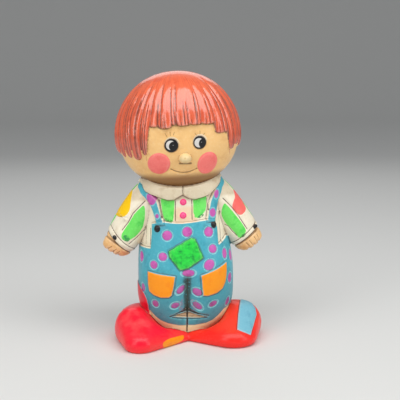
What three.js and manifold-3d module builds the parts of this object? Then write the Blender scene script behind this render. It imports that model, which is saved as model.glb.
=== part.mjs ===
// A cast ceramic figurine of a boy clown in patched overalls and big shoes, about 200 mm tall.
// Millimetres, +Z up. The figure faces -Y, and the origin is under the middle of its box, on the floor.
// It is one casting, so every form below is fused into one solid. The forms are worked out upright, and
// the whole is then leaned a little to the figure's right, as the real one is.
import * as THREE from "three";
import { ConvexGeometry } from "three/addons/geometries/ConvexGeometry.js";
import { mergeVertices } from "three/addons/utils/BufferGeometryUtils.js";
import Module from "manifold-3d";

const wasm = await Module();
wasm.setup();

// Driving dimensions
const HEIGHT = 200;
const HAIR_RADIUS = 0.235 * HEIGHT; // the bowl of hair is a ball, seen from the front
const HAIR_DEPTH = 0.885 * HAIR_RADIUS;
const CROWN = HEIGHT - HAIR_RADIUS; // height of the middle of that ball
const LOCKS = 30; // locks of hair all round
const LOCK_GROOVE = 1.4; // depth of the groove between two locks
const FRINGE = CROWN + 0.2 * HAIR_RADIUS; // height of the fringe's lower edge
const BOWL_EDGE = CROWN - 0.27 * HAIR_RADIUS; // height of the hair's lower edge, at the sides and back
const FACE = { x: 44.5, y: 37, z: 40, front: -1, middle: 155, power: 2.2 }; // the head under the hair
const JAW = { x: 33, y: 25.5, z: 20, front: -7, middle: 134, power: 2 };
const WAIST = 74; // height of the overalls' edge under the arms
const BIB_TOP = 93;
const HEM = 14; // height of the trousers' lower edge in front, from where it rises to the sides
const BIB_HALF = 24; // half the bib's width
const CLOTH = 1.1; // how far cloth stands proud of what it covers
// The figure's right arm hangs out further than its left one: x and z of the sleeve's end, and the slope
const RIGHT_ARM = { x: 46.5, z: 78.5, slope: THREE.MathUtils.degToRad(35) };
const LEFT_ARM = { x: 44.6, z: 77.5, slope: THREE.MathUtils.degToRad(33) };
const ARM_Y = -4;
// A shoe is stretched over a few domes, from the toe back. Each has its middle on the floor, its radius and
// its height. Modelled by hand, the shoes differ: the right one has the longer toe.
const HEEL = { x: 14, y: 17, radius: 14, top: 16.5 };
const INNER = { x: 5, y: -13.5, radius: 9.5, top: 7 };
const LEFT_SHOE = [
  { x: 33, y: -25.5, radius: 18, top: 14 },
  { x: 38, y: -4, radius: 20, top: 25.5 },
  INNER,
  HEEL,
];
const RIGHT_SHOE = [
  { x: 36, y: -35, radius: 12.5, top: 14 },
  { x: 39.5, y: -12.5, radius: 15, top: 25 },
  { x: 33, y: 3.5, radius: 19.5, top: 23 },
  INNER,
  HEEL,
];
const LEAN = THREE.MathUtils.degToRad(2.9);

// Half-widths and half-depths of the body, from the legs' ends up to the neck, each at its height
const BODY_HEIGHTS = [3, 9, 16, 28, 44, 60, 76, 92, 106, 117, 124];
const BODY_WIDTHS = [17, 24, 29.5, 34, 35, 34.5, 32.5, 30, 30, 31, 26.5];
const BODY_DEPTHS = [15, 19.5, 23.5, 27.5, 29.5, 29.5, 28, 26.5, 25, 23.5, 19];
const BODY_POWER = 2.3; // of the body's rounded-square section

const smooth = (from, to, v) => THREE.MathUtils.smoothstep(v, from, to);
const bend = (v, power) => Math.sign(v) * Math.abs(v) ** (2 / power);

// A closed geometry as a solid that can be joined and cut
function solid(geometry) {
  const bare = geometry.index ? geometry.toNonIndexed() : geometry.clone();
  bare.deleteAttribute("normal");
  bare.deleteAttribute("uv");
  const merged = mergeVertices(bare, 1e-4);
  return new wasm.Manifold(
    new wasm.Mesh({
      numProp: 3,
      vertProperties: merged.getAttribute("position").array,
      triVerts: new Uint32Array(merged.index.array),
    }),
  );
}

// Joins rings of points, given from the lowest up and each turning anticlockwise, and closes both ends
function loft(rings) {
  const sides = rings[0].length;
  const middleOf = (ring) => ring.reduce((sum, p) => sum.add(p), new THREE.Vector3()).divideScalar(sides);
  const points = [...rings.flat(), middleOf(rings[0]), middleOf(rings.at(-1))];
  const [foot, head] = [points.length - 2, points.length - 1];
  const faces = [];
  for (let s = 0; s < sides; s++) {
    const t = (s + 1) % sides;
    for (let r = 0; r + 1 < rings.length; r++) {
      const [a, b, c, d] = [r * sides + s, r * sides + t, (r + 1) * sides + t, (r + 1) * sides + s];
      faces.push(a, b, c, a, c, d);
    }
    const last = (rings.length - 1) * sides;
    faces.push(foot, t, s, head, last + s, last + t);
  }
  const geometry = new THREE.BufferGeometry().setFromPoints(points);
  return solid(geometry.setIndex(faces));
}

// A ring of points round the Z axis, rounded-square by its power
function ring(sides, halfX, halfY, z, power = 2, middleY = 0) {
  return Array.from({ length: sides }, (_, s) => {
    const turn = (2 * Math.PI * s) / sides;
    const x = halfX * bend(Math.cos(turn), power);
    const y = middleY + halfY * bend(Math.sin(turn), power);
    return new THREE.Vector3(x, y, z);
  });
}

// A rounded form about a middle, with its own half-size each way
function ball(x, y, z, halfX, halfY, halfZ, sides = 28, power = 2) {
  const geometry = new THREE.SphereGeometry(1, sides, Math.round(sides / 2)).rotateX(Math.PI / 2);
  const at = geometry.getAttribute("position");
  for (let i = 0; i < at.count; i++)
    at.setXYZ(
      i,
      x + halfX * bend(at.getX(i), power),
      y + halfY * bend(at.getY(i), power),
      z + halfZ * bend(at.getZ(i), power),
    );
  return geometry;
}

// An outline drawn on the figure's front, as [x, z] points, carried from one depth to another
function prism(outline, fromY, toY) {
  const shape = new THREE.Shape(outline.map(([x, z]) => new THREE.Vector2(x, z)));
  const depth = toY - fromY;
  const geometry = new THREE.ExtrudeGeometry(shape, { depth, bevelEnabled: false });
  return solid(geometry.rotateX(Math.PI / 2).translate(0, toY, 0));
}

const FRONT = [-70, 1.3];
const BACK = [-1.3, 70];
const mirrored = (outline) => outline.map(([x, z]) => [-x, z]).reverse();
const bothSides = (form) => form.add(form.mirror([1, 0, 0]));
const union = (forms) => forms.reduce((whole, form) => whole.add(form));

// Points of a round-ended curve through a few corners
function rounded(corners, points = 26) {
  const curve = new THREE.CatmullRomCurve3(
    corners.map(([x, z]) => new THREE.Vector3(x, 0, z)),
    true,
    "catmullrom",
    0.5,
  );
  return curve.getPoints(points).slice(0, -1).map((p) => [p.x, p.z]);
}

function valueAt(heights, values, z) {
  const curve = new THREE.SplineCurve(heights.map((h, i) => new THREE.Vector2(h, values[i])));
  const last = heights.length - 1;
  const before = Math.min(last - 1, Math.max(0, heights.findLastIndex((h) => h <= z)));
  const share = (z - heights[before]) / (heights[before + 1] - heights[before]);
  return curve.getPoint((before + share) / last).y;
}

// The body in its clothes, from the legs' ends to the neck, grown outwards by a thickness
function body(grow) {
  const sides = 36;
  const step = 9.5;
  const [low, high] = [BODY_HEIGHTS[0], BODY_HEIGHTS.at(-1)];
  const count = Math.round((high - low) / step);
  const rings = Array.from({ length: count + 1 }, (_, i) => {
    const z = low + ((high - low) * i) / count;
    const width = valueAt(BODY_HEIGHTS, BODY_WIDTHS, z) + grow;
    const depth = valueAt(BODY_HEIGHTS, BODY_DEPTHS, z) + grow;
    return ring(sides, width, depth, z, BODY_POWER);
  });
  return loft(rings);
}

// The bowl of hair: locks that run down from the crown, cut straight round, open over the face
function hair() {
  const sides = 3 * LOCKS;
  const rings = 10;
  const lowest = Math.asin((BOWL_EDGE - 4 - CROWN) / HAIR_RADIUS);
  const highest = Math.PI / 2 - 0.08;
  const cap = loft(
    Array.from({ length: rings }, (_, r) => {
      const rise = lowest + ((highest - lowest) * r) / (rings - 1);
      const z = CROWN + HAIR_RADIUS * Math.sin(rise);
      const groove = LOCK_GROOVE * (1 - smooth(0.7, 1.3, rise));
      const tuck = 1.6 * (1 - smooth(BOWL_EDGE - 2, BOWL_EDGE + 8, z));
      return ring(sides, 1, 1, 0).map((p, s) => {
        const lock = Math.floor(s / 3);
        const cut = tuck + (s % 3 ? 0 : groove * (0.7 + 0.3 * Math.sin(7 * lock)));
        const out = bend(Math.cos(rise), 2.1);
        return new THREE.Vector3(p.x * (out * HAIR_RADIUS - cut), p.y * (out * HAIR_DEPTH - cut), z);
      });
    }),
  );
  const left = -24.5;
  const step = 23.3;
  const right = 33.8;
  const temple = FRINGE - 6;
  const ends = Array.from({ length: 12 }, (_, i) => {
    const share = i / 11;
    return [left + (step - left) * share, FRINGE - (i % 2 ? 0 : 1.6)];
  });
  const window = [[left, 90], ...ends, [step, temple], [right, temple], [right, 90]];
  const under = prism([[-60, 90], [-60, BOWL_EDGE], [60, BOWL_EDGE], [60, 90]].reverse(), -70, 70);
  return cap.subtract(prism(window.reverse(), -70, -8)).subtract(under);
}

// The face: round cheeks, a button nose, flat round eyes and a cut line for the smile
function head() {
  const sides = 28;
  const skull = (grow) =>
    solid(ball(0, FACE.front, FACE.middle, FACE.x + grow, FACE.y + grow, FACE.z + grow, sides, FACE.power));
  const disc = (x, z, halfX, halfZ) => {
    const outline = new THREE.EllipseCurve(x, z, halfX, halfZ).getPoints(16).slice(0, -1);
    return prism(outline.map((p) => [p.x, p.y]), -70, -10);
  };
  const cheeks = bothSides(skull(0.7).intersect(disc(17.3, 134.6, 7.6, 7.4)));
  const eyes = bothSides(skull(0.35).intersect(disc(10.1, 149.5, 4.7, 4.9)));
  const jaw = solid(ball(0, JAW.front, JAW.middle, JAW.x, JAW.y, JAW.z, 18));
  const nose = solid(ball(0.3, -36.5, 138.6, 4.3, 4.4, 3.4, 16));
  const smile = new THREE.CatmullRomCurve3(
    [-9.5, -6, 0, 6, 9.5].map((x) => {
      const z = 128.8 + 0.024 * x * x;
      return new THREE.Vector3(x, Math.min(frontOf(FACE, x, z), frontOf(JAW, x, z)), z);
    }),
  );
  const lips = new THREE.Shape(new THREE.EllipseCurve(0, 0, 0.7, 0.7).getPoints(6));
  const cut = new THREE.ExtrudeGeometry(lips, { steps: 12, extrudePath: smile, bevelEnabled: false });
  return union([skull(0), jaw, cheeks, eyes, nose]).subtract(solid(cut));
}

// Where the front of the head or the jaw lies, at a place seen from the front
function frontOf(form, x, z) {
  const side = Math.abs(x / form.x) ** form.power;
  const up = Math.abs((z - form.middle) / form.z) ** form.power;
  return form.front - form.y * Math.max(0, 1 - side - up) ** (1 / form.power);
}

// The shirt's collar, two round lobes in front and one band behind
function collar() {
  const lobe = rounded([[1, 111], [6, 108.6], [14, 108.6], [22, 112.5], [28, 119], [32, 126], [1, 126]]);
  const nape = rounded([[-33, 126], [-30, 113], [-18, 107], [18, 107], [30, 113], [33, 126]]);
  const cloth = body(2.6);
  const front = bothSides(cloth.intersect(prism(lobe, ...FRONT)));
  return front.add(cloth.intersect(prism(nape, ...BACK)));
}

// The overalls: legs and seat, bib, straps, pockets and patches, each a layer over the last
function overalls() {
  const cloth = body(CLOTH);
  const hem = [-40, -32, -22, -11, 0, 11, 22, 32, 40].map((x) => [x, HEM + 11 * (x / 34) ** 2]);
  const bibHalf = [[40, WAIST + 4], [BIB_HALF + 1.5, WAIST - 1], [BIB_HALF, BIB_TOP]];
  const seatHalf = [[40, WAIST + 4], [22, WAIST + 8], [13, BIB_TOP + 2]];
  const bib = [...hem, ...bibHalf, ...mirrored(bibHalf)];
  const seat = [...hem, ...seatHalf, ...mirrored(seatHalf)];
  const strap = [[17, BIB_TOP - 2], [23, BIB_TOP - 2], [29, 106], [33, 124], [28, 124], [22, 108]];
  const crossed = [[-11, BIB_TOP], [-5, BIB_TOP], [30, 122], [26, 126], [22, 124]];
  const front = cloth.intersect(prism(bib, ...FRONT));
  const back = cloth.intersect(prism(seat, ...BACK));
  const straps = bothSides(body(1.7).intersect(prism(strap, ...FRONT)));
  const backStraps = bothSides(body(1.7).intersect(prism(crossed, ...BACK)));
  const pocket = rounded([[11, 51], [28, 59], [28.5, 46], [26, 38], [18, 35], [12, 36]]);
  const pockets = bothSides(body(CLOTH + 0.9).intersect(prism(pocket, ...FRONT)));
  const patch = [[-14, 69], [3.5, 80.5], [11, 65.5], [-4.5, 55.5]].reverse();
  const knee = rounded([[-37, 46], [-30, 44], [-25, 30], [-29, 22], [-37, 22]]);
  const patches = body(CLOTH + 1).intersect(prism(patch, ...FRONT)).add(
    body(CLOTH + 0.7).intersect(prism(knee.reverse(), ...FRONT)),
  );
  return union([front, back, straps, backStraps, pockets, patches]);
}

// How far the body's front lies in front of its middle, at a place seen from the front
function frontOfBody(x, z) {
  const side = Math.abs(x / valueAt(BODY_HEIGHTS, BODY_WIDTHS, z)) ** BODY_POWER;
  return valueAt(BODY_HEIGHTS, BODY_DEPTHS, z) * (1 - side) ** (1 / BODY_POWER);
}

// A button, as a small dome
const button = (x, y, z, size = 1.9) => solid(ball(x, y, z, size, size, size, 8));
const frontButton = (x, z, size) => button(x, 0.3 - frontOfBody(x, z), z, size);

// One sleeve with its turned-back end and the hand below it. It hangs out from the shoulder, to +X.
function arm({ x, z, slope }) {
  const cuff = new THREE.Vector3(x, ARM_Y, z);
  const along = new THREE.Vector3(Math.sin(slope), 0, -Math.cos(slope));
  const across = new THREE.Vector3(Math.cos(slope), 0, Math.sin(slope));
  const place = (down, out, forward) =>
    cuff.clone().addScaledVector(along, down).addScaledVector(across, out).setY(ARM_Y - forward);
  // Sections across the arm, each by how far down it lies, its half-sizes and its shift outwards
  const tube = (sections) =>
    loft(
      sections.map(([down, halfWidth, halfDepth, shift = 0]) =>
        ring(18, halfWidth, halfDepth, 0).map((p) => place(down, shift + p.x, -p.y)),
      ),
    );
  const sleeve = tube([
    [0, 12.2, 11], [-4, 12.9, 11.6], [-15, 13.4, 12], [-26, 13.4, 12.6], [-36, 12.6, 12], [-44, 10.5, 10.5],
    [-49, 7, 7],
  ]);
  const band = tube([[0.4, 12.9, 11.7], [-0.6, 13.6, 12.3], [-5, 13.9, 12.6], [-5.8, 13.2, 12]]);
  const hand = tube([[13, 5, 4.5, 1], [12, 8, 7, 1], [8.5, 10.6, 9], [4, 11.5, 9.8], [-2, 11.4, 9.8]]);
  const fingers = [-4.6, 0.6, 5.8].map((out) => {
    const groove = new THREE.CylinderGeometry(0.75, 0.75, 11, 6).rotateY(0.3).rotateZ(slope).rotateX(-0.18);
    return solid(groove.translate(...place(10.5, out + 1, 7.6)));
  });
  const press = solid(ball(...place(-3, 3.5, 12), 2, 2, 2, 8));
  return union([sleeve, band, hand.subtract(union(fingers)), press]);
}

// A dome with a flat foot and a side that bulges a little, grown outwards by a thickness
function domeRings({ x, y, radius, top }, grow = 0, sides = 20) {
  const profile = [[0, 0.8], [0.09, 0.9], [0.22, 0.98], [0.42, 1], [0.62, 0.94], [0.8, 0.8], [0.93, 0.56], [1, 0.22]];
  return profile.map(([share, width]) => {
    const reach = radius * width + grow;
    return ring(sides, reach, reach, share * (top + grow), 2, y).map((p) => p.setX(p.x + x));
  });
}

// One shoe: a low round toe that turns out, and an instep that rises to the trousers and falls to the heel
function shoe(domes, grow) {
  return solid(new ConvexGeometry(domes.flatMap((dome) => domeRings(dome, grow).flat())));
}

// The patch on the left shoe's outer side
function shoePatch() {
  const outline = [[35, 14], [43.5, 9], [51.5, 15.5], [53.5, 20.5], [51, 32], [42, 32], [38, 20]];
  return shoe(LEFT_SHOE, 0.7).intersect(prism(outline, -70, 5));
}

// The cuts between the legs and round the ankles
function legCuts() {
  const valley = [[0, -23], [3.4, -34], [-3.4, -34]].map(([x, y]) => new THREE.Vector2(x, y));
  const crease = new THREE.ExtrudeGeometry(new THREE.Shape(valley), { depth: 43, bevelEnabled: false });
  const front = solid(crease.clone().translate(0, 0, 9));
  const behind = solid(crease.clone().rotateZ(Math.PI).translate(0, 0, 9));
  const ankle = rounded([[-14, 20.3], [0, 19.6], [14, 20.3], [6, 23.6], [0, 25], [-6, 23.6]]);
  const gap = body(3).subtract(body(-0.9)).intersect(prism(ankle, ...FRONT));
  return union([front, behind, gap]);
}

// Leans the figure from the knees up, then stands it with the middle of its box over the origin
function stand(form) {
  const mesh = form.getMesh();
  const geometry = new THREE.BufferGeometry();
  geometry.setAttribute("position", new THREE.BufferAttribute(new Float32Array(mesh.vertProperties), 3));
  geometry.setIndex(new THREE.BufferAttribute(new Uint32Array(mesh.triVerts), 1));
  const at = geometry.getAttribute("position");
  const [knee, hip] = [35, 80];
  for (let i = 0; i < at.count; i++) {
    const [x, z] = [at.getX(i), at.getZ(i)];
    const turn = Math.sin(LEAN) * smooth(knee, hip, z);
    at.setX(i, x - turn * (z - 48));
    at.setZ(i, z + turn * x);
  }
  geometry.computeBoundingBox();
  const { min, max } = geometry.boundingBox;
  return geometry.translate(-(min.x + max.x) / 2, -(min.y + max.y) / 2, 0);
}

const floor = solid(new THREE.BoxGeometry(200, 200, 50).translate(0, 0, -25));
const bibButtons = bothSides(frontButton(20.3, 89, 2.6));
const shirtButtons = frontButton(0, 106, 2.4).add(frontButton(0, 96.4, 2.4));
const casting = union([
  body(0),
  overalls().subtract(legCuts()),
  collar(),
  head(),
  hair(),
  arm(LEFT_ARM),
  arm(RIGHT_ARM).mirror([1, 0, 0]),
  shoe(LEFT_SHOE),
  shoe(RIGHT_SHOE).mirror([1, 0, 0]),
  shoePatch(),
  bibButtons,
  shirtButtons,
]).subtract(legCuts()).subtract(floor);

const ceramic = new THREE.MeshStandardMaterial({ color: 0x5db3c4, roughness: 0.35, metalness: 0 });
const figurine = new THREE.Mesh(stand(casting), ceramic);
figurine.name = "clown_figurine";
const group = new THREE.Group();
group.add(figurine);
export default group;
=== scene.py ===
# %% [markdown]
# # A clown cast in ceramic and painted by hand
# The real figure is one hollow casting, about 200 mm tall. It was fired, painted by hand in bright colours,
# washed with thin brown that stayed in the cut lines, and varnished. The lesson goes the same way: model the
# big forms, let one skin grow over them, cut the fine lines, and then paint.

import math

import bpy
import numpy as np
from mathutils import Matrix, Vector, kdtree


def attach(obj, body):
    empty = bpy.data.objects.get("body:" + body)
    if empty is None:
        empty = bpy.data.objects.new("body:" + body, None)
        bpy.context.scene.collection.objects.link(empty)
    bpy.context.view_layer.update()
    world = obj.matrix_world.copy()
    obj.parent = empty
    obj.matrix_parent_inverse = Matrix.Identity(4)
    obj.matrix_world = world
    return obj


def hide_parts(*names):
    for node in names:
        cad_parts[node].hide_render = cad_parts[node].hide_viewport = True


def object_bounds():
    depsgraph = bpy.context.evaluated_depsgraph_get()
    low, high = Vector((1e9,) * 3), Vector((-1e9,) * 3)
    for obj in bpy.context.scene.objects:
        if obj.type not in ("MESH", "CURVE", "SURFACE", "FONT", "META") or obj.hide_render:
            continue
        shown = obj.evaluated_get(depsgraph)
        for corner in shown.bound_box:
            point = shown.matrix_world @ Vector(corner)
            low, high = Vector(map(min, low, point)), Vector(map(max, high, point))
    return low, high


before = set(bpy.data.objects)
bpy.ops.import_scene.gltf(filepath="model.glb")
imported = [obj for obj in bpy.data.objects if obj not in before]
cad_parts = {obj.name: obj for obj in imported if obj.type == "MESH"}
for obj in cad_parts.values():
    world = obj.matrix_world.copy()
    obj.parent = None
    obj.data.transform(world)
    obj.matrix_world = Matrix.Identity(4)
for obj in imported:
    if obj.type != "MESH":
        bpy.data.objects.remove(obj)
cad_low, cad_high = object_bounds()
MM = 0.001
print("The solid's box in mm:", [round(side / MM, 1) for side in cad_high - cad_low])

# %% [markdown]
# ## The camera
# The photograph was taken from a little to the figure's right and from just above its eyes. A camera that
# stands 600 mm off with a short telephoto lens gives the same lines: the shoes are seen from above, and the
# underside of the chin still shows.

# %% Camera
CAMERA_DISTANCE = 599 * MM
CAMERA_HEIGHT = 190 * MM
CAMERA_BEARING = math.radians(5)
CAMERA_TURN = math.radians(1.22)
CAMERA_DIP = math.radians(8.17)

lens = bpy.data.cameras.new("photo_camera")
lens.lens = 72.7
lens.clip_start = 0.01
camera = bpy.data.objects.new("photo_camera", lens)
bpy.context.scene.collection.objects.link(camera)
bpy.context.scene.camera = camera
camera.location = (
    -CAMERA_DISTANCE * math.sin(CAMERA_BEARING),
    -CAMERA_DISTANCE * math.cos(CAMERA_BEARING),
    CAMERA_HEIGHT,
)
camera.rotation_euler = (math.pi / 2 - CAMERA_DIP, 0, -CAMERA_BEARING - CAMERA_TURN)
print("The camera stands at", [round(part, 3) for part in camera.location])

# %% [markdown]
# ## Sizes
# All forms are worked out in millimetres and standing upright, facing -Y, the way a modeller would build
# them. At the end the whole figure is leaned a little, as the real one is, and brought to metres.

# %% Driving sizes, in mm
HEIGHT = 200
HAIR_RADIUS = 0.235 * HEIGHT
HAIR_DEPTH = 0.885 * HAIR_RADIUS
CROWN = HEIGHT - HAIR_RADIUS
BOWL_EDGE = CROWN - 0.27 * HAIR_RADIUS
FACE = {"x": 44.5, "y": 37, "z": 40, "middle": 155, "power": 2.2}
CLOTH = 1.1
ARM_Y = -4
RIGHT_ARM = {"x": 46.5, "z": 78.5, "slope": math.radians(35), "side": -1}
LEFT_ARM = {"x": 44.6, "z": 77.5, "slope": math.radians(33), "side": 1}
LEAN = math.radians(2.9)
JAW_MIDDLE = (0.5, -7, 134)
JAW_HALVES = (33, 25.5, 20)
NECK = 119  # the clothes end below this height
CHIN = 118
FACE_FRONT = -20  # the face lies in front of this y
ARMS_FROM = 20  # sleeves, hands and toes lie farther out than this x
SHOES_BELOW = 36
OUTSIDE = -20.0  # far outside an outline
print("The bowl of hair ends", round(BOWL_EDGE, 1), "mm up and has a radius of", HAIR_RADIUS, "mm")

# %% [markdown]
# ## Working by hand, in code
# A few helpers do what a modeller's hands do again and again. One clears the selection, because an operator
# acts on all that is selected. One applies a modifier, and one turns all faces outwards. One builds a form
# section by section: it adds a circle, squares it a little, and then extrudes and scales it upwards.


# %% Helpers for modelling
def clear_bench():
    if bpy.context.object and bpy.context.object.mode != "OBJECT":
        bpy.ops.object.mode_set(mode="OBJECT")
    bpy.ops.object.select_all(action="DESELECT")


def pick(*forms):
    clear_bench()
    for form in forms:
        form.select_set(True)
    bpy.context.view_layer.objects.active = forms[0]


def finish_with(form, kind, **settings):
    """Adds one modifier to a form and applies it."""
    pick(form)
    modifier = form.modifiers.new(kind.title(), kind)
    for name, value in settings.items():
        setattr(modifier, name, value)
    bpy.ops.object.modifier_apply(modifier=modifier.name)


def turn_outwards(form):
    """Makes all faces of a form look outwards."""
    pick(form)
    bpy.ops.object.mode_set(mode="EDIT")
    bpy.ops.mesh.select_all(action="SELECT")
    bpy.ops.mesh.normals_make_consistent(inside=False)
    bpy.ops.object.mode_set(mode="OBJECT")


def squared(values, power):
    """Squares a circle's sine or cosine a little: power 2 leaves it round."""
    return np.sign(values) * np.abs(values) ** (2 / power)


def points_of(form):
    points = np.empty(len(form.data.vertices) * 3, np.float32)
    form.data.vertices.foreach_get("co", points)
    return points.reshape(-1, 3).astype(float)


def normals_of(form):
    normals = np.empty(len(form.data.vertices) * 3, np.float32)
    form.data.vertex_normals.foreach_get("vector", normals)
    return normals.reshape(-1, 3).astype(float)


def move_points(form, points):
    form.data.vertices.foreach_set("co", points.astype(np.float32).ravel())
    form.data.update()


def stack(name, sections, sides=48, power=2.0):
    """A closed form from sections (height, half x, half y, middle x, middle y), the lowest one first."""
    clear_bench()
    bpy.ops.mesh.primitive_circle_add(vertices=sides, radius=1, fill_type="NOTHING")
    form = bpy.context.object
    form.name = name
    circle = points_of(form)
    circle[:, :2] = squared(circle[:, :2], power)
    move_points(form, circle)
    z, half_x, half_y, x, y = sections[0]
    bpy.ops.object.mode_set(mode="EDIT")
    bpy.ops.mesh.select_all(action="SELECT")
    bpy.ops.transform.resize(value=(half_x, half_y, 1), center_override=(0, 0, 0))
    bpy.ops.transform.translate(value=(x, y, z))
    bpy.ops.mesh.edge_face_add()
    for below, above in zip(sections, sections[1:]):
        rise = (above[3] - below[3], above[4] - below[4], above[0] - below[0])
        grow = (above[1] / below[1], above[2] / below[2], 1)
        bpy.ops.mesh.extrude_region_move(TRANSFORM_OT_translate={"value": rise})
        bpy.ops.transform.resize(value=grow, center_override=(above[3], above[4], above[0]))
    turn_outwards(form)
    return form


def ball(name, middle, halves, power=2.0, segments=64):
    """A UV sphere, squared a little and scaled to its own half-size each way."""
    clear_bench()
    bpy.ops.mesh.primitive_uv_sphere_add(segments=segments, ring_count=segments // 2, radius=1)
    form = bpy.context.object
    form.name = name
    move_points(form, squared(points_of(form), power) * np.array(halves) + np.array(middle))
    return form


# %% [markdown]
# ## The body
# Legs, seat, chest and neck are one rounded-square column in the casting. Its half-widths and half-depths
# are set at eleven heights, and a smooth curve through them gives a section every 3 mm. Subdivision then
# makes the column fine enough to take the relief of the clothes.

# %% Body
BODY_HEIGHTS = [3, 9, 16, 28, 44, 60, 76, 92, 106, 117, 124]
BODY_WIDTHS = [17, 24, 29.5, 34, 35, 34.5, 32.5, 30, 30, 31, 26.5]
BODY_DEPTHS = [15, 19.5, 23.5, 27.5, 29.5, 29.5, 28, 26.5, 25, 23.5, 19]
BODY_POWER = 2.3


def curve_through(heights, values, z):
    """A smooth curve through values at heights, each piece a cubic between the neighbours' slopes."""
    heights = np.array(heights, float)
    values = np.array(values, float)
    slopes = np.gradient(values, heights)
    z = np.clip(z, heights[0], heights[-1])
    piece = np.clip(np.searchsorted(heights, z, side="right") - 1, 0, len(heights) - 2)
    span = heights[piece + 1] - heights[piece]
    t = (z - heights[piece]) / span
    start = (1 + 2 * t) * (1 - t) ** 2 * values[piece] + t * (1 - t) ** 2 * span * slopes[piece]
    end = t * t * (3 - 2 * t) * values[piece + 1] + t * t * (t - 1) * span * slopes[piece + 1]
    return start + end


def body_half_sizes(z):
    return curve_through(BODY_HEIGHTS, BODY_WIDTHS, z), curve_through(BODY_HEIGHTS, BODY_DEPTHS, z)


BODY_STEP = 3.1
steps = round((BODY_HEIGHTS[-1] - BODY_HEIGHTS[0]) / BODY_STEP)
body_levels = np.linspace(BODY_HEIGHTS[0], BODY_HEIGHTS[-1], steps + 1)
body_sections = [(z, *body_half_sizes(z), 0, 0) for z in body_levels]
body = stack("body", body_sections, sides=64, power=BODY_POWER)
finish_with(body, "SUBSURF", levels=3, render_levels=3)
print("Body:", len(body.data.vertices), "points")

# %% [markdown]
# ## Drawing on the body
# Clothes on a casting are outlines cut into the clay. To draw them, the body's surface is unrolled: `wrap`
# is the distance round it from the middle of the front, and z stays the height. An outline's signed
# distance says how far inside it each point lies, so one number gives the raised cloth, the cut line along
# its edge and later the paint's border.

# %% Unrolling, outlines and distances
WRAP_RADIUS = 33
BODY_OVAL = 1.18
AROUND = WRAP_RADIUS * math.pi  # wrap at the middle of the back


def wrap_of(points):
    return WRAP_RADIUS * np.arctan2(points[:, 0], -BODY_OVAL * points[:, 1])


def ramp(low, high, values):
    t = np.clip((values - low) / (high - low), 0, 1)
    return t * t * (3 - 2 * t)


def off_line(line, across, up):
    """Distance to an open line through a few points."""
    nearest = np.full(across.shape, np.inf)
    for (ax, az), (bx, bz) in zip(line, line[1:]):
        run, rise = bx - ax, bz - az
        share = np.clip(((across - ax) * run + (up - az) * rise) / (run**2 + rise**2), 0, 1)
        nearest = np.minimum(nearest, np.hypot(across - ax - share * run, up - az - share * rise))
    return nearest


def inside(outline, across, up):
    """How far inside a closed outline each place lies; outside it the number is negative."""
    within = np.zeros(across.shape, bool)
    for (ax, az), (bx, bz) in zip(outline, outline[1:] + outline[:1]):
        if bz != az:
            within ^= ((az > up) != (bz > up)) & (across < ax + (up - az) * (bx - ax) / (bz - az))
    nearest = off_line(outline + outline[:1], across, up)
    return np.where(within, nearest, -nearest)


def soften(outline, times=2):
    """Cuts an outline's corners a few times, which rounds them."""
    for _ in range(times):
        corners = []
        for (ax, az), (bx, bz) in zip(outline, outline[1:] + outline[:1]):
            corners.append((0.78 * ax + 0.22 * bx, 0.78 * az + 0.22 * bz))
            corners.append((0.22 * ax + 0.78 * bx, 0.22 * az + 0.78 * bz))
        outline = corners
    return outline


def in_oval(middle, halves, tilt, across, up):
    """How far inside a tilted oval each place lies, near enough for a brush."""
    turn = math.radians(tilt)
    along = (across - middle[0]) * math.cos(turn) + (up - middle[1]) * math.sin(turn)
    side = (up - middle[1]) * math.cos(turn) - (across - middle[0]) * math.sin(turn)
    return (1 - np.hypot(along / halves[0], side / halves[1])) * min(halves)


def mirrored(outline):
    return [(-across, up) for across, up in outline]


# %% [markdown]
# ## The clothes' outlines
# The overalls' upper edge runs round the body: bib in front, low under the arms, a yoke behind. Pockets,
# patches, straps and collar are outlines of their own. Left and right differ a little, as hand modelling
# does. Behind, where nothing shows in the picture, the straps cross and the cloth is plain.

# %% Outlines of the clothes, as (wrap, height)
WAIST = 73
YOKE = 95
FAR = AROUND + 40  # past the middle of the back, so that no outline ends there

back_edge = [(60, WAIST), (75, WAIST + 3), (88, YOKE - 9), (95, YOKE - 1), (FAR, YOKE)]
BIB = [(-44, WAIST), (-28, WAIST), (-27.5, 84.5), (-28, 91), (-17, 92.5), (-9, 91.5), (-2, 91), (7, 91.5)]
BIB += [(16.5, 92), (24.5, 91), (25.5, 84.5), (24, WAIST), (36, 77.5), (44, 76)]
OVERALLS = mirrored(back_edge)[::-1] + BIB + back_edge + [(FAR, -20), (-FAR, -20)]
RIGHT_STRAP = [(-16, 90), (-17.5, 94.5), (-20, 102.5), (-22, 108.5), (-29.5, 114.5), (-36, 117.5), (-44, 126)]
RIGHT_STRAP += [(-55, 126), (-46, 119.5), (-38.5, 115), (-33.5, 110), (-28, 103), (-24, 94.5), (-23, 90)]
LEFT_STRAP = [(16, 90), (16.5, 93), (18, 98.5), (21, 105.5), (24, 110), (27.5, 114.5), (36, 120), (45, 126)]
LEFT_STRAP += [(55, 126), (46, 119), (40, 116), (35, 113), (30.5, 105), (27.5, 99), (24.5, 91), (24, 90)]
BACK_STRAP = [(93, 93), (99, 93), (121, 112), (146, 124), (140, 130), (112, 113)]
LOBE_MEET = -0.7
RIGHT_LOBE = [(-FAR, 130), (-FAR, 107), (-96, 107.5), (-82, 109.5), (-66, 117), (-50, 121.5), (-38, 119)]
RIGHT_LOBE += [(-32, 114.5), (-25.5, 112), (-20, 110), (-13, 108), (-8.5, 108), (-4.5, 110), (-1, 111.5)]
RIGHT_LOBE += [(-1, 130)]
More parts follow.
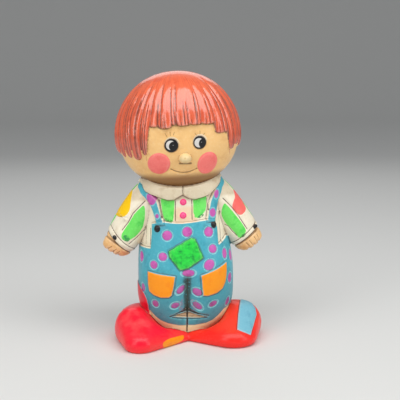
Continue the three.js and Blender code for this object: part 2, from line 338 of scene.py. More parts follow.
LEFT_LOBE = [(-0.4, 130), (-0.4, 111), (4, 108.5), (8, 107.5), (15, 108.5), (20.5, 110), (26.5, 114)]
LEFT_LOBE += [(39, 120.5), (52, 121.5), (66, 117), (82, 109.5), (96, 107.5), (FAR, 107), (FAR, 130)]
RIGHT_POCKET = [(-30, 55.5), (-20.5, 54), (-9, 52.5), (-10, 45), (-11.5, 38), (-13.5, 36), (-19.5, 35.5)]
RIGHT_POCKET += [(-25, 37), (-29, 39.5), (-30, 45)]
LEFT_POCKET = [(7.5, 52.5), (15.5, 55), (29, 60), (28.5, 53), (27, 45.5), (24.5, 41), (19.5, 38)]
LEFT_POCKET += [(12.5, 36.5), (9.2, 37), (8.2, 43.5)]
BELLY_PATCH = [(-13.5, 71.5), (3, 80.5), (6, 79), (10.5, 65), (-0.5, 58), (-6, 56.5), (-13, 67)]
KNEE_PATCH = [(-58, 43), (-48, 42), (-42, 41), (-38, 39), (-33.5, 36), (-31.5, 32.5), (-31, 28.5)]
KNEE_PATCH += [(-31.5, 25), (-33, 18), (-58, 18)]
LEG_PARTING = -1.3
HEM = [  # the trousers' lower edge, as (wrap, height): high where the shoes' domes push it up
    (-82, 13.5), (-60, 22), (-48, 25), (-36, 25), (-32, 24), (-27, 19), (-24, 16.5), (-18, 14.5), (-9, 13),
    (-1, 13), (5.5, 13), (15.5, 14), (21.5, 16), (26, 20), (29.5, 23.5), (36, 25), (48, 25), (60, 22),
    (82, 13.5),
]  # fmt: skip
print("Points on the overalls' outline:", len(OVERALLS))

# %% [markdown]
# ## Raising the clothes
# Every piece of clothing lifts the body's surface by its own thickness, and the highest one counts. The
# legs are parted by a valley in front and another behind.


# %% Raise the clothes
THICKNESS = {"overalls": CLOTH, "straps": 1.7, "pockets": 2.0, "belly": 2.1, "knee": 1.8, "collar": 2.7}
CHIN_DIP, CHIN_LIFT = 117, 6.4  # the collar's upper edge below the chin, and how much it rises to the sides
BACK_LIFT = 9  # and behind
NECK_SUNK = 4.5
FRONT_VALLEY, BACK_VALLEY = 3.4, 1.8


def hem_height(wrap):
    return np.interp(wrap, [place[0] for place in HEM], [place[1] for place in HEM])


def cloth_of(points):
    """Signed distances to the edge of each piece of clothing, on the body's surface."""
    wrap, up = wrap_of(points), points[:, 2]
    collar = np.maximum(inside(RIGHT_LOBE, wrap, up), inside(LEFT_LOBE, wrap, up))
    chin_line = CHIN_DIP + CHIN_LIFT * np.minimum(np.abs(wrap + 1) / 33, 1.2) ** 2
    behind = BACK_LIFT * ramp(60, 75, np.abs(wrap))
    collar = np.minimum(collar, chin_line + behind - up)
    overalls = np.minimum(inside(OVERALLS, wrap, up), up - hem_height(wrap))
    straps = np.maximum(inside(RIGHT_STRAP, wrap, up), inside(LEFT_STRAP, wrap, up))
    for strap in (BACK_STRAP, mirrored(BACK_STRAP)):
        for turn in (0, 2 * AROUND, -2 * AROUND):
            straps = np.maximum(straps, inside(strap, wrap + turn, up))
    return {
        "collar": collar,
        "above_collar": up - chin_line - behind,
        "overalls": overalls,
        "straps": straps,
        "pockets": np.maximum(inside(RIGHT_POCKET, wrap, up), inside(LEFT_POCKET, wrap, up)),
        "belly": inside(BELLY_PATCH, wrap, up),
        "knee": inside(soften(KNEE_PATCH, 1), wrap, up),
    }


def cloth_height(points):
    """How far the clothes stand proud of the body, with the valleys between the legs taken off."""
    wrap, up = wrap_of(points), points[:, 2]
    cloth = cloth_of(points)
    height = np.zeros(len(points))
    for name, thickness in THICKNESS.items():
        height = np.maximum(height, thickness * ramp(-0.35, 0.55, cloth[name]))
    height -= NECK_SUNK * ramp(-0.2, 1.2, cloth["above_collar"])
    valley = np.exp(-(((wrap - LEG_PARTING) / 4.8) ** 2)) * ramp(53, 45, up) * ramp(14, 30, up)
    seat = np.exp(-(((AROUND - np.abs(wrap)) / 4) ** 2)) * ramp(66, 50, up) * ramp(8, 25, up)
    return height - FRONT_VALLEY * valley - BACK_VALLEY * seat


body_points = points_of(body)
outwards = body_points * np.array([1, BODY_OVAL**2, 0])
outwards /= np.linalg.norm(outwards, axis=1, keepdims=True) + 1e-9
cloth_rise = cloth_height(body_points)
move_points(body, body_points + outwards * cloth_rise[:, None])
print("The clothes stand up to", round(float(cloth_rise.max()), 2), "mm proud")

# %% [markdown]
# ## The hair
# The hair is a bowl cut: a dome of about thirty locks that part at the crown. The dome is built from rings
# like the body. Then each lock is rounded and the line between two locks is sunk, deeper towards the ends
# and not at all on the crown. Where the face shows, the dome's surface is pushed in under the skull, so the
# fringe gets thick, rounded ends without a boolean cut.

# %% Locks of hair
dice = np.random.default_rng(7)
FRINGE_ENDS = [  # each front lock from, to and the height of its end
    (-23.2, -16.2, 161.9),
    (-16.2, -7.6, 160.5),
    (-7.6, -3.6, 162.7),
    (-3.6, 5.6, 161.8),
    (5.6, 14.2, 162.1),
    (14.2, 23.8, 162.0),
    (23.8, 33.6, 155.2),
]
FRINGE_RADIUS = 46
LOCK_GROOVE = 1.9
LOCK_GROOVE_WIDTH = 0.75
LOCK_WIDTHS = (8.5, 13.5)  # in degrees, beyond the fringe


def lock_edges():
    """Angles of the lines between locks, in degrees round the crown, 0 in front."""
    front = [math.degrees(math.asin(lock[0] / FRINGE_RADIUS)) for lock in FRINGE_ENDS]
    front.append(math.degrees(math.asin(FRINGE_ENDS[-1][1] / FRINGE_RADIUS)))
    edges = list(front)
    while edges[-1] < 180 + front[0] - 40:
        edges.append(edges[-1] + dice.uniform(*LOCK_WIDTHS))
    left = [front[0]]
    while left[0] - LOCK_WIDTHS[1] > edges[-1] - 360 + 6:
        left.insert(0, left[0] - dice.uniform(*LOCK_WIDTHS))
    return np.array(left[:-1] + edges)


LOCK_EDGES = lock_edges()
LOCK_COUNT = len(LOCK_EDGES)
LOCK_START = dice.uniform(0.85, 1.25, LOCK_COUNT)
LOCK_DEPTH = dice.uniform(0.65, 1.1, LOCK_COUNT)
LOCK_PROUD = dice.uniform(-0.35, 0.35, LOCK_COUNT)
LOCK_DROP = dice.uniform(-0.9, 1.3, LOCK_COUNT)
LOCK_LINES = dice.uniform(0.2, 0.8, (LOCK_COUNT, 3))
LOCK_LINE_START = dice.uniform(0.2, 0.95, (LOCK_COUNT, 3))
print("Locks:", LOCK_COUNT)

# %% [markdown]
# Every place on the hair belongs to a lock, and its place across that lock tells how deep the hair is cut
# there. At the lower edge each lock ends a little higher or lower than the next.


# %% Places on the hair
LOW_LOCKS = (-34, 9, 3.9)  # at the right temple the locks hang lower: middle x, reach and how much
LOCK_WAVE = 1.3
LOCK_ROUND = 1.3  # how much a lock's end rises at its two sides
FINE_LINE_WIDTH = 0.5


def hair_places(points):
    """Which lock a point is on, how far across it, the lock's width there and the rise above the middle."""
    up = np.clip((points[:, 2] - CROWN) / HAIR_RADIUS, -1, 1)
    rise = np.arcsin(up)
    angle = np.degrees(np.arctan2(points[:, 0] / HAIR_RADIUS, -points[:, 1] / HAIR_DEPTH))
    angle = angle + LOCK_WAVE * np.sin(3.1 * rise + angle / 9) * ramp(1.3, 0.2, rise)
    turned = (angle - LOCK_EDGES[0]) % 360 + LOCK_EDGES[0]
    lock = np.searchsorted(LOCK_EDGES, turned, side="right") - 1
    after = np.append(LOCK_EDGES[1:], LOCK_EDGES[0] + 360)
    width = after[lock] - LOCK_EDGES[lock]
    across = (turned - LOCK_EDGES[lock]) / width
    span = np.radians(width) * HAIR_RADIUS * np.cos(rise)
    return lock, across, span, rise


def hair_relief(points):
    """The depth of the lines between locks and the fine lines within them."""
    lock, across, span, rise = hair_places(points)
    after = (lock + 1) % LOCK_COUNT
    nearer = np.where(across < 0.5, lock, after)
    off_edge = np.minimum(across, 1 - across) * span
    fade = ramp(LOCK_START[nearer], LOCK_START[nearer] - 0.45, rise)
    low = 0.55 + 0.45 * ramp(0.5, -0.1, rise)
    groove = LOCK_GROOVE * LOCK_DEPTH[nearer] * low * fade * np.exp(-((off_edge / LOCK_GROOVE_WIDTH) ** 1.3))
    round_lock = 0.5 * fade * np.abs(2 * across - 1) ** 2.5
    proud = LOCK_PROUD[lock] * ramp(0.6, 0.0, rise) * ramp(0, 1.2, off_edge)
    fine = np.zeros(len(points))
    for place, start in zip(LOCK_LINES.T, LOCK_LINE_START.T):
        off_fine_line = (across - place[lock]) * span
        shown = ramp(start[lock], start[lock] - 0.3, rise)
        fine = np.maximum(fine, shown * np.exp(-((off_fine_line / FINE_LINE_WIDTH) ** 2)))
    return groove + round_lock - proud, fine


def lock_end(points):
    """The height of the hair's lower edge, where each lock has its own round end."""
    lock, across = hair_places(points)[:2]
    middle, reach, drop = LOW_LOCKS
    low_side = drop * np.exp(-(((points[:, 0] - middle) / reach) ** 2)) * (points[:, 1] < 5)
    return BOWL_EDGE - low_side - LOCK_DROP[lock] + LOCK_ROUND * np.abs(2 * across - 1) ** 3


# %% [markdown]
# The face's window is one outline, seen from the front: up one side, along the ends of the fringe with each
# lock's end rounded by a formula, over the longer lock at the temple and down the other side.


# %% The window in the hair
def face_window():
    outline = [(-26.2, BOWL_EDGE - 12), (-25.8, 143.6), (-25, 152), (-23.8, 159)]
    for start, end, low in FRINGE_ENDS:
        for share in (0.04, 0.14, 0.32, 0.5, 0.68, 0.86, 0.96):
            outline.append((start + (end - start) * share, low + 1.5 * abs(2 * share - 1) ** 5))
    return outline + [(34.6, 146), (36, BOWL_EDGE - 12)]


FACE_WINDOW = face_window()


def in_window(points):
    """How far inside the face's window a point lies. Only the front of the head has one."""
    return np.where(points[:, 1] < -8, inside(FACE_WINDOW, points[:, 0], points[:, 2]), OUTSIDE)


print("Points on the window's outline:", len(FACE_WINDOW))

# %% Hair
HAIR_RINGS = 18
HAIR_POWER = 2.1
HAIR_TUCK = 1.6  # how far the lower edge turns in
WINDOW_DEPTH = 7.5
lowest = math.asin((BOWL_EDGE - CROWN) / HAIR_RADIUS)
hair_sections = []
for rise in np.linspace(lowest, math.pi / 2 - 0.05, HAIR_RINGS):
    z = CROWN + HAIR_RADIUS * math.sin(rise)
    out = float(squared(math.cos(rise), HAIR_POWER))
    tuck = HAIR_TUCK * (1 - float(ramp(BOWL_EDGE - 2, BOWL_EDGE + 8, np.array(z))))
    hair_sections.append((z, out * HAIR_RADIUS - tuck, out * HAIR_DEPTH - tuck, 0, 0))
hair = stack("hair", hair_sections, sides=64)
finish_with(hair, "SUBSURF", levels=3, render_levels=3)

hair_points = points_of(hair)
hair_normals = normals_of(hair)
on_dome = hair_points[:, 2] > BOWL_EDGE + 0.5
sunk = WINDOW_DEPTH * ramp(0, 1.0, in_window(hair_points)) + hair_relief(hair_points)[0] * on_dome
hair_points -= hair_normals * sunk[:, None] * np.where(on_dome, 1, 0.5)[:, None]
near_edge = ramp(BOWL_EDGE + 10, BOWL_EDGE, hair_points[:, 2])
hair_points[:, 2] += near_edge * (lock_end(hair_points) - BOWL_EDGE)
move_points(hair, hair_points)
print("Hair:", len(hair.data.vertices), "points")

# %% [markdown]
# ## The head
# Under the hair is a wide, slightly squared ball. A second ball makes the full jaw that rests on the
# collar, and a small one is the button nose.

# %% Head
face_halves = (FACE["x"], FACE["y"], FACE["z"])
head = ball("head", (0, -1, FACE["middle"]), face_halves, FACE["power"], segments=96)
jaw = ball("jaw", JAW_MIDDLE, JAW_HALVES)
nose = ball("nose", (1.2, -36.2, 138.3), (4.5, 4.4, 3.7), segments=32)
finish_with(head, "SUBSURF", levels=1, render_levels=1)
print("Head:", len(head.data.vertices), "points")

# %% [markdown]
# ## Arms and hands
# A sleeve is a wide tube that hangs out from the shoulder, and the hand is a mitten below its cuff. Each is
# stacked from sections down the arm and then turned and moved into place. The figure's right arm is the
# left one mirrored, with its own slope.

# %% Arms
SLEEVE = [(4.6, 12.3, 11.2), (0, 12.6, 11.4), (-4, 12.9, 11.6), (-15, 13.4, 12), (-26, 13.4, 12.6)]
SLEEVE += [(-36, 12.6, 12), (-44, 10.5, 10.5), (-49, 7, 7)]
HAND = [(13.2, 5, 4.3), (12.7, 7, 6.2), (11.2, 9, 8), (8.5, 10.6, 9.2), (5, 11.4, 9.8), (-2, 11.4, 9.8)]
ARM_RADIUS = 13  # turns an angle round the arm into millimetres


def smooth_sections(sections, step, shift=0.0):
    """More sections between the given ones, on a smooth curve, as heights above the sleeve's end."""
    heights = [-down for down, half_x, half_y in sections]
    count = max(2, round((heights[-1] - heights[0]) / step))
    levels = np.linspace(heights[0], heights[-1], count + 1)
    half_x = curve_through(heights, [section[1] for section in sections], levels)
    half_y = curve_through(heights, [section[2] for section in sections], levels)
    return [(z, x, y, shift * float(ramp(-7, -12, z)), 0) for z, x, y in zip(levels, half_x, half_y)]


def arm_frame(arm):
    """Takes the arm's own axes (out, back, up the arm) to the figure's."""
    turn = Matrix.Rotation(-arm["slope"], 4, "Y")
    place = Matrix.Translation((arm["x"], ARM_Y, arm["z"]))
    flip = Matrix.Diagonal((arm["side"], 1, 1, 1))
    return flip @ place @ turn


def arm_places(points, arm):
    """Places along the arm: down from the sleeve's end, outwards, and round it from the outside forward."""
    slope = arm["slope"]
    off_x = points[:, 0] * arm["side"] - arm["x"]
    off_z = points[:, 2] - arm["z"]
    down = off_x * math.sin(slope) - off_z * math.cos(slope)
    out = off_x * math.cos(slope) + off_z * math.sin(slope)
    forward = ARM_Y - points[:, 1]
    return down, out, forward, ARM_RADIUS * np.arctan2(forward, out)


arm_forms = []
for arm in (LEFT_ARM, RIGHT_ARM):
    sleeve = stack("sleeve", smooth_sections(SLEEVE, 2.5), sides=48)
    hand = stack("hand", smooth_sections(HAND, 1.5, shift=1.0), sides=48)
    for form in (sleeve, hand):
        form.data.transform(arm_frame(arm))
        turn_outwards(form)
        finish_with(form, "SUBSURF", levels=1, render_levels=1)
        arm_forms.append(form)
print("Arm forms:", len(arm_forms))

# %% [markdown]
# ## Shoes
# A big shoe is stretched over a few domes: toe, instep, heel and a low one at the inner side. The convex hull
# tool pulls a skin over them, like cloth over pots. Remeshing and smoothing round its facets, and then the
# top is pressed in beside the trousers, as a thumb does before the clay sets.

# %% Shoes
HEEL = (14, 17, 14, 16.5)  # each dome's middle x, middle y, radius and top
INNER = (5, -13.5, 9.5, 7)
LEFT_SHOE = [(33, -25.5, 18, 14), (38, -4, 20, 25.5), INNER, HEEL]
RIGHT_SHOE = [(36, -35, 12.5, 14), (39.5, -12.5, 15, 25), (33, 3.5, 19.5, 23), INNER, HEEL]
DOME_PROFILE = [(0, 0.8), (0.05, 0.87), (0.12, 0.93), (0.22, 0.98), (0.42, 1), (0.62, 0.94), (0.8, 0.8)]
DOME_PROFILE += [(0.93, 0.56), (0.98, 0.36), (1, 0.16)]
PRESS = {1: (16.5, -12.5, 0.66, 10.5), -1: (17.5, -15.5, 0.37, 9)}  # middle x and y, share of height, reach
SHOE_VOXEL = 0.9


def shoe(side, shoe_domes):
    domes = []
    for x, y, radius, top in shoe_domes:
        rings = [(share * top, radius * width) for share, width in DOME_PROFILE]
        domes.append(stack("dome", [(z, half, half, side * x, y) for z, half in rings], sides=48))
    pick(*domes)
    bpy.ops.object.join()
    form = bpy.context.object
    form.name = "shoe"
    bpy.ops.object.mode_set(mode="EDIT")
    bpy.ops.mesh.select_all(action="SELECT")
    bpy.ops.mesh.convex_hull()
    turn_outwards(form)
    finish_with(form, "REMESH", mode="VOXEL", voxel_size=SHOE_VOXEL, adaptivity=0)
    finish_with(form, "SMOOTH", factor=0.5, iterations=6)
    points = points_of(form)
    x, y, share, reach = PRESS[side]
    off = ((side * points[:, 0] - x) / reach) ** 2 + ((points[:, 1] - y) / (0.75 * reach)) ** 2
    points[:, 2] *= 1 - share * np.exp(-off) * ramp(-34, -22, points[:, 1])
    move_points(form, points)
    return form


shoes = [shoe(1, LEFT_SHOE), shoe(-1, RIGHT_SHOE)]
print("Shoe faces:", [len(form.data.polygons) for form in shoes])

# %% [markdown]
# ## Buttons
# Little domes on the bib, the shirt and the cuffs. Each is a small ball whose middle lies on the cloth.


# %% Buttons
def front_of_body(x, z):
    half_x, half_y = body_half_sizes(np.array([z]))
    side = abs(x / half_x[0]) ** BODY_POWER
    return -float(half_y[0] * (1 - side) ** (1 / BODY_POWER))


BIB_BUTTONS = [(-20.3, 87.2), (20.1, 87.5)]
SHIRT_BUTTONS = [(-1, 105.9), (-1.7, 96.3)]
BUTTONS = [(x, front_of_body(x, z) - 0.3, z, 2.6, "black") for x, z in BIB_BUTTONS]
BUTTONS += [(x, front_of_body(x, z) + 0.9, z, 2.5, "pink") for x, z in SHIRT_BUTTONS]
CUFF_BUTTONS = [(RIGHT_ARM, 0.9, 13.8, 1.8), (LEFT_ARM, 0.9, 9.5, 2)]  # down, round and radius
CUFF_HALVES = (12.6, 11.6)
for arm, down, round_arm, radius in CUFF_BUTTONS:
    angle = round_arm / ARM_RADIUS
    spot = Vector((CUFF_HALVES[0] * math.cos(angle), -CUFF_HALVES[1] * math.sin(angle), -down))
    BUTTONS.append((*(arm_frame(arm) @ spot), radius, "black"))
buttons = [ball("button", place, (radius,) * 3, segments=24) for *place, radius, colour in BUTTONS]
print("Buttons:", len(buttons))

# %% [markdown]
# ## One skin over all
# A casting has no seams between its parts. Joining the forms and remeshing them with small voxels gives
# one closed skin, as slip does in a mould. The voxel is half a millimetre, so the thinnest relief survives.

# %% Join and remesh
VOXEL = 0.5
forms = [body, hair, head, jaw, nose, *arm_forms, *shoes, *buttons]
pick(*forms)
bpy.ops.object.join()
clown = bpy.context.object
clown.name = "clown_glazed"
clown.data.name = "clown_glazed"
finish_with(clown, "REMESH", mode="VOXEL", voxel_size=VOXEL, adaptivity=0)
print("One skin of", len(clown.data.vertices), "points")

# %% [markdown]
# ## Where a point of the skin belongs
# After remeshing, the skin no longer knows which form it came from. Its distance from the body's column and
# from the head tells that again: close to neither of them it is a sleeve, a hand or a shoe, by its height.


# %% Distances from the forms
def off_ball(points, middle, halves, power=2.0):
    """Distance outside a squared ball, near enough close to its surface."""
    offset = points - np.array(middle)
    share = (np.abs(offset / np.array(halves)) ** power).sum(1) ** (1 / power)
    return np.linalg.norm(offset, axis=1) * (1 - 1 / np.maximum(share, 1e-6))


def off_head(points):
    skull = off_ball(points, (0, -1, FACE["middle"]), face_halves, FACE["power"])
    return np.minimum(skull, off_ball(points, JAW_MIDDLE, JAW_HALVES))


def off_body(points):
    """Distance outside the clothed body. Above the neck there is no body."""
    half_x, half_y = body_half_sizes(points[:, 2])
    sides = np.abs(points[:, :2] / np.stack([half_x, half_y], 1)) ** BODY_POWER
    share = np.maximum(sides.sum(1) ** (1 / BODY_POWER), 1e-6)
    off = np.hypot(points[:, 0], points[:, 1]) * (1 - 1 / share) - cloth_height(points)
    return np.where(points[:, 2] > BODY_HEIGHTS[-1] + 1.5, -OUTSIDE, off)


SLEEVE_HALVES = (13.4, 12.6)
ARM_ENDS = (-52, 16)  # the shoulder and a place below the fingers, as places down the arm


def in_arm(points, arm):
    """How far inside a slightly wider sleeve a point lies, and its places along the arm."""
    down, out, forward, round_arm = arm_places(points, arm)
    tube = (1.25 - np.hypot(out / SLEEVE_HALVES[0], forward / SLEEVE_HALVES[1])) * ARM_RADIUS
    return np.minimum(np.minimum(tube, down - ARM_ENDS[0]), ARM_ENDS[1] - down), down, out, round_arm


# %% [markdown]
# ## Dots
# The modeller's tool cut a ring round each dot of the overalls. In front the dots are where the real ones
# are. On the sides and behind, staggered rows go on with the same dots, each a little off its place.

# %% Dots
DOTS = [  # middle (wrap, height), half-sizes and tilt in degrees
    (-14, 82.5, 3.5, 3.5, 0), (0.5, 84.5, 3.5, 3.5, 0), (16.5, 83, 3.5, 3.5, 60), (-17.5, 67, 3, 3, 0),
    (-24.5, 60.5, 3, 3, 0), (18, 70.5, 3, 3, 0), (28.5, 65.5, 2.5, 3.5, -12), (14, 59.5, 4, 3.5, 50),
    (-0.5, 54.5, 4, 2.5, 0), (-39.5, 65, 3.5, 4, 0), (-6, 42, 3.5, 2, 50), (5.5, 40, 3.5, 2.5, -35),
    (-24.5, 30.5, 2.5, 2.5, 0), (-10, 30, 3, 2, 28), (6, 29.5, 4, 2, -42), (17.5, 30, 3, 2, 25),
    (32, 29.5, 2.5, 3, -15), (-36.5, 41, 2.5, 3, 10), (33.5, 47, 3, 3.5, 0), (38.5, 62.5, 3.5, 4, 0),
]  # fmt: skip
STRAP_DOTS = [(-26.5, 109, 4.5, 4.5, 0), (-21.5, 96.5, 1.5, 1.5, 0)]
STRAP_DOTS += [(27, 109.5, 2.5, 3, -20), (21.5, 96.5, 3, 3, 0)]
DOT_ROWS = [(35, 62), (47, 56), (59, 62), (70, 70), (84, 101)]  # height, and wrap where the row behind starts
DOT_STEP = 14.5
ROWS_MEET = AROUND - 7  # past this wrap, only one side's row has a dot


def dots_behind():
    """The same dots on the sides and the back, in staggered rows."""
    dots = []
    for height, start in DOT_ROWS:
        for wrap in np.arange(start, AROUND + 4, DOT_STEP):
            for side in (-1, 1) if wrap < ROWS_MEET else (1,):
                jitter = dice.uniform(-1.5, 1.5, 2)
                halves = dice.uniform(2.8, 3.6, 2)
                dots.append((side * wrap + jitter[0], height + jitter[1], *halves, 20 * side))
    return dots


def over_dots(dots, wrap, up):
    """How far inside the nearest dot each place lies. Dots behind are tried at both ends of the wrap."""
    best = np.full(wrap.shape, OUTSIDE)
    for across, height, half_x, half_z, tilt in dots:
        for turn in (0,) if abs(across) < 80 else (0, 2 * AROUND, -2 * AROUND):
            best = np.maximum(best, in_oval((across + turn, height), (half_x, half_z), tilt, wrap, up))
    return best


DOTS_BEHIND = dots_behind()
print("Dots:", len(DOTS), "in front and", len(DOTS_BEHIND), "behind")

# %% [markdown]
# ## Lines and stripes
# The shirt has lines from the shoulders down, with painted stripes between them. Between the shoes, the
# trousers fold back over a small gap. Dark green gathered in a blot at the ends of some stripes.

# %% On the chest and the legs, as (wrap, height)
SHIRT_LINES = [
    [(-37.5, 105.5), (-35, 75)],
    [(-30, 87), (-29, 75)],
    [(32, 107), (32, 96), (30.5, 86), (27.5, 73)],
    [(-20.5, 108), (-18, 95)],
    [(-7.5, 107), (-8, 93)],
    [(6, 107), (5, 93)],
    [(19, 107), (18.5, 98.5)],
    [(LOBE_MEET, 118), (LOBE_MEET - 0.4, 114), (LOBE_MEET, 111.5)],
]
CHEST_STRIPES = [
    [(-20, 111), (-7.5, 111), (-9, 93.5), (-10.5, 91.5), (-15.5, 92.5), (-18, 96.5)],
    [(7, 111), (19, 111), (17.5, 98.5), (13, 95.5), (10, 93), (6, 94.5)],
]
CHEST_BLOTS = [(-13.5, 93.2, 3.8, 1.3, -16), (12, 94.9, 2.7, 1.1, 22)]
FOLD_GAP = [(-12.5, 21), (-8, 23), (-3, 24), (-1.5, 23.5), (0.5, 24), (6.5, 22), (15, 19.5), (-1.5, 20)]
FOLD_SHADOW = [(-8.5, 24), (-4.5, 27), (-1.5, 29), (1.5, 27), (9, 22.5), (6.5, 22.5), (0.5, 24.5), (-3, 24.5)]
LEG_LINES = [[(LEG_PARTING, 7), (LEG_PARTING, 27)], [(-13, 20), (-1, 19), (15, 19)]]
LEG_LINES += [[(-15, 20.5), (-12.5, 21.5), (-8, 24), (-3, 25.5), (0, 25.5), (7, 23), (16, 20.5)]]

print("Lines on shirt and legs:", len(SHIRT_LINES) + len(LEG_LINES))

# %% On the sleeves and hands, as (down from the sleeve's end, round the arm), by side
SLEEVE_LINES = {
    -1: [[(-34, 19), (-21.5, 16), (-15, 16.5), (-7, 15.5)], [(-16, 32.5), (-8, 30), (-0.5, 27)]],
    1: [
        [(-32, 18), (-23.5, 16.5), (-13.5, 16), (-2, 16.5)],
        [(-14.5, 29.5), (-12, 28), (-7.5, 28), (-2.5, 27)],
    ],
}
SLEEVE_STRIPES = {
    -1: [(-32, 19.5), (-28.5, 23), (-20.5, 27.5), (-15, 29.5), (-8.5, 28.5), (-2.5, 25), (-0.5, 21),
         (-2, 17.5), (-5.5, 16.5), (-14.5, 17), (-23, 17)],
    1: [(-29, 19), (-23.5, 18), (-15.5, 17.5), (-9, 17), (-2, 17.5), (-1, 18.5), (0.5, 23),
        (0.5, 27), (-5, 27), (-10.5, 27.5), (-15, 28.5), (-22.5, 27), (-26.5, 23.5)],
}  # fmt: skip
SLEEVE_BLOTS = {-1: (-3.2, 22, 2.2, 3.2), 1: (0.2, 22.8, 1, 2.6)}
OUTER_STRIPE = [(-50, -8), (-50, 2.5), (-30, 3.5), (-12, 3.5), (-4, 2.5), (-2, -4), (-4, -8)]
HIND_STRIPE = [(-50, -28), (-50, -19), (-2, -18), (0, -23), (-2, -28)]
YELLOW_PATCH = [(-35.5, -1), (-35, 4), (-31.5, 7), (-27.5, 10), (-22, 13), (-17, 12.5), (-14, 8), (-13, 3.5)]
YELLOW_PATCH += [(-13.5, -4), (-20, -8), (-31, -7)]
CORAL_PATCH = [(-31.5, 4), (-26.5, 8.5), (-25, 13), (-22.5, 16.5), (-17.5, 16), (-14.5, 15.5), (-13, 13)]
CORAL_PATCH += [(-13, 9), (-14, 5), (-22, 0.5), (-29, 0)]
SLEEVE_PATCHES = {-1: ("yellow", YELLOW_PATCH), 1: ("coral", CORAL_PATCH)}
ELBOW_FOLD = [(-13.5, 2), (-13.5, 6), (-15.5, 10.5), (-17, 15)]
FINGER_GAPS = [5.6, 1.3, -3.4]
FINGER_LINES = {
    -1: [[(10.4, 12.4), (8.1, 14.3)], [(13.8, 17.5), (10.7, 18.7), (8, 19.9)], [(12.2, 23.2), (8.4, 24.3)]],
    1: [[(12, round_arm - 0.6), (6, round_arm)] for round_arm in (10.3, 14.4, 20.8, 24.7)],
}
CUFF_EDGE = {-1: (4.4, -0.24, -0.012), 1: (3.6, -0.08, -0.003)}  # constant, linear and square terms
CUFF_WIDTH = {-1: 4.3, 1: 3.4}


def cuff_edge(out, side):
    """How far down the cuff's lower edge lies, on a slant that is the sleeve's own."""
    start, slant, sag = CUFF_EDGE[side]
    return start + slant * out + sag * out**2


# %% On the face, as (x, z)
EYES = [(-8.1, 148.1, 4.85), (11.9, 149.1, 4.7)]
EYE_WHITES = [((-8.6, 148.3, 3.3), (-6.5, 147.4, 3.4)), ((11.4, 148.9, 3.3), (14.9, 148.2, 3.7))]
CHEEKS = [((-17.2, 135.4), (8.0, 7.9), 0), ((17.3, 133.8), (8.5, 7.2), 60)]
MOUTH = [(x, 127.9 + 0.03 * (x - 0.8) ** 2) for x in np.linspace(-9, 9.5, 9)]
LIP_BELOW = 1.7
LASHES = [
    [(-8.5, 155), (-8.5, 157.5)], [(-6.3, 155.3), (-5.6, 157.3)], [(-10.8, 154.2), (-12, 156.8)],
    [(12.4, 155), (12.5, 157.1)], [(9.8, 154.3), (8.8, 155.7)], [(14.7, 154.3), (15.9, 155.3)],
]  # fmt: skip
NOSE_DIMPLE = (0.7, 138.8)
NOSE_FRONT, NOSE_TOP = -38, 145
print("Lines on face and arms:", len(LASHES) + 2 + sum(len(lines) for lines in SLEEVE_LINES.values()))

# %% [markdown]
# The toes have a patch each. A shoe's top is neither upright nor flat, so a patch is drawn on a slanted
# plane: x and z, each moved a little for every millimetre back. Limits in depth and height end it.

# %% Patches on the toes
TOE_BLUE = [(42.5, 26), (49, 26), (54, 18.5), (55, 13.5), (50.5, -2), (40.5, 2.5), (41, 13.5)]
TOE_ORANGE = [(-17.5, -8), (-14, -4.5), (-6, -2.5), (-2, -1.5), (-1.5, -4), (-3.5, -6.5), (-10, -9.5)]
TOE_ORANGE += [(-16, -12)]


def toe_patches(points):
    """How far inside the blue patch of the left shoe and the orange one of the right each point lies."""
    x, y, z = points.T
    blue = np.minimum(inside(TOE_BLUE, x - 0.17 * y, z + 0.29 * y), 3 - y)
    outer_side = z - 7.5 - 0.2 * (y + 40) - 0.5 * np.maximum(y + 14, 0)
    orange = np.minimum(inside(soften(TOE_ORANGE, 1), x - 0.08 * y, z + 0.33 * y), -14 - y)
    return np.minimum(blue, outer_side), orange


# %% [markdown]
# ## Cutting
# Each cut is a depth that depends on the distance to its line. All depths are added up, and in the end every
# point of the skin moves in along its normal by that much. Cheeks, eyes and patches are raised the same way.


# %% Where the points lie, and the tool's marks
class Places:
    """Where points lie round and above the body, off the forms and inside the clothes' outlines."""

    def __init__(self, points):
        self.points = points
        self.x, self.y, self.up = points.T
        self.wrap = wrap_of(points)
        self.off_body = off_body(points)
        self.off_head = off_head(points)
        self.cloth = cloth_of(points)
        self.on_cloth = 0.9 - self.off_body


TOOL_MARKS = {  # how deep and how wide each kind of line is
    "shirt": (0.55, 0.5), "leg": (0.8, 0.55), "parting": (0.7, 0.6), "edge": (0.3, 0.4),
    "mouth": (0.75, 0.6), "lip": (0.35, 0.8), "lash": (0.15, 0.35), "eye": (0.2, 0.4),
    "dimple": (0.5, 0.5), "toe": (0.3, 0.5), "cuff": (0.7, 0.6), "seam": (0.4, 0.5),
    "knuckle": (0.6, 0.45), "finger": (0.8, 0.7), "elbow": (0.45, 0.6),
}  # fmt: skip


def cut(distance, kind):
    depth, width = TOOL_MARKS[kind]
    return depth * np.exp(-((distance / width) ** 2))


def nearest_line(lines, across, up):
    return np.min([off_line(line, across, up) for line in lines], axis=0)


finish_with(clown, "SMOOTH", factor=0.5, iterations=2)
at = Places(points_of(clown))
depth = np.zeros(len(at.points))
print("Points to cut:", len(depth))

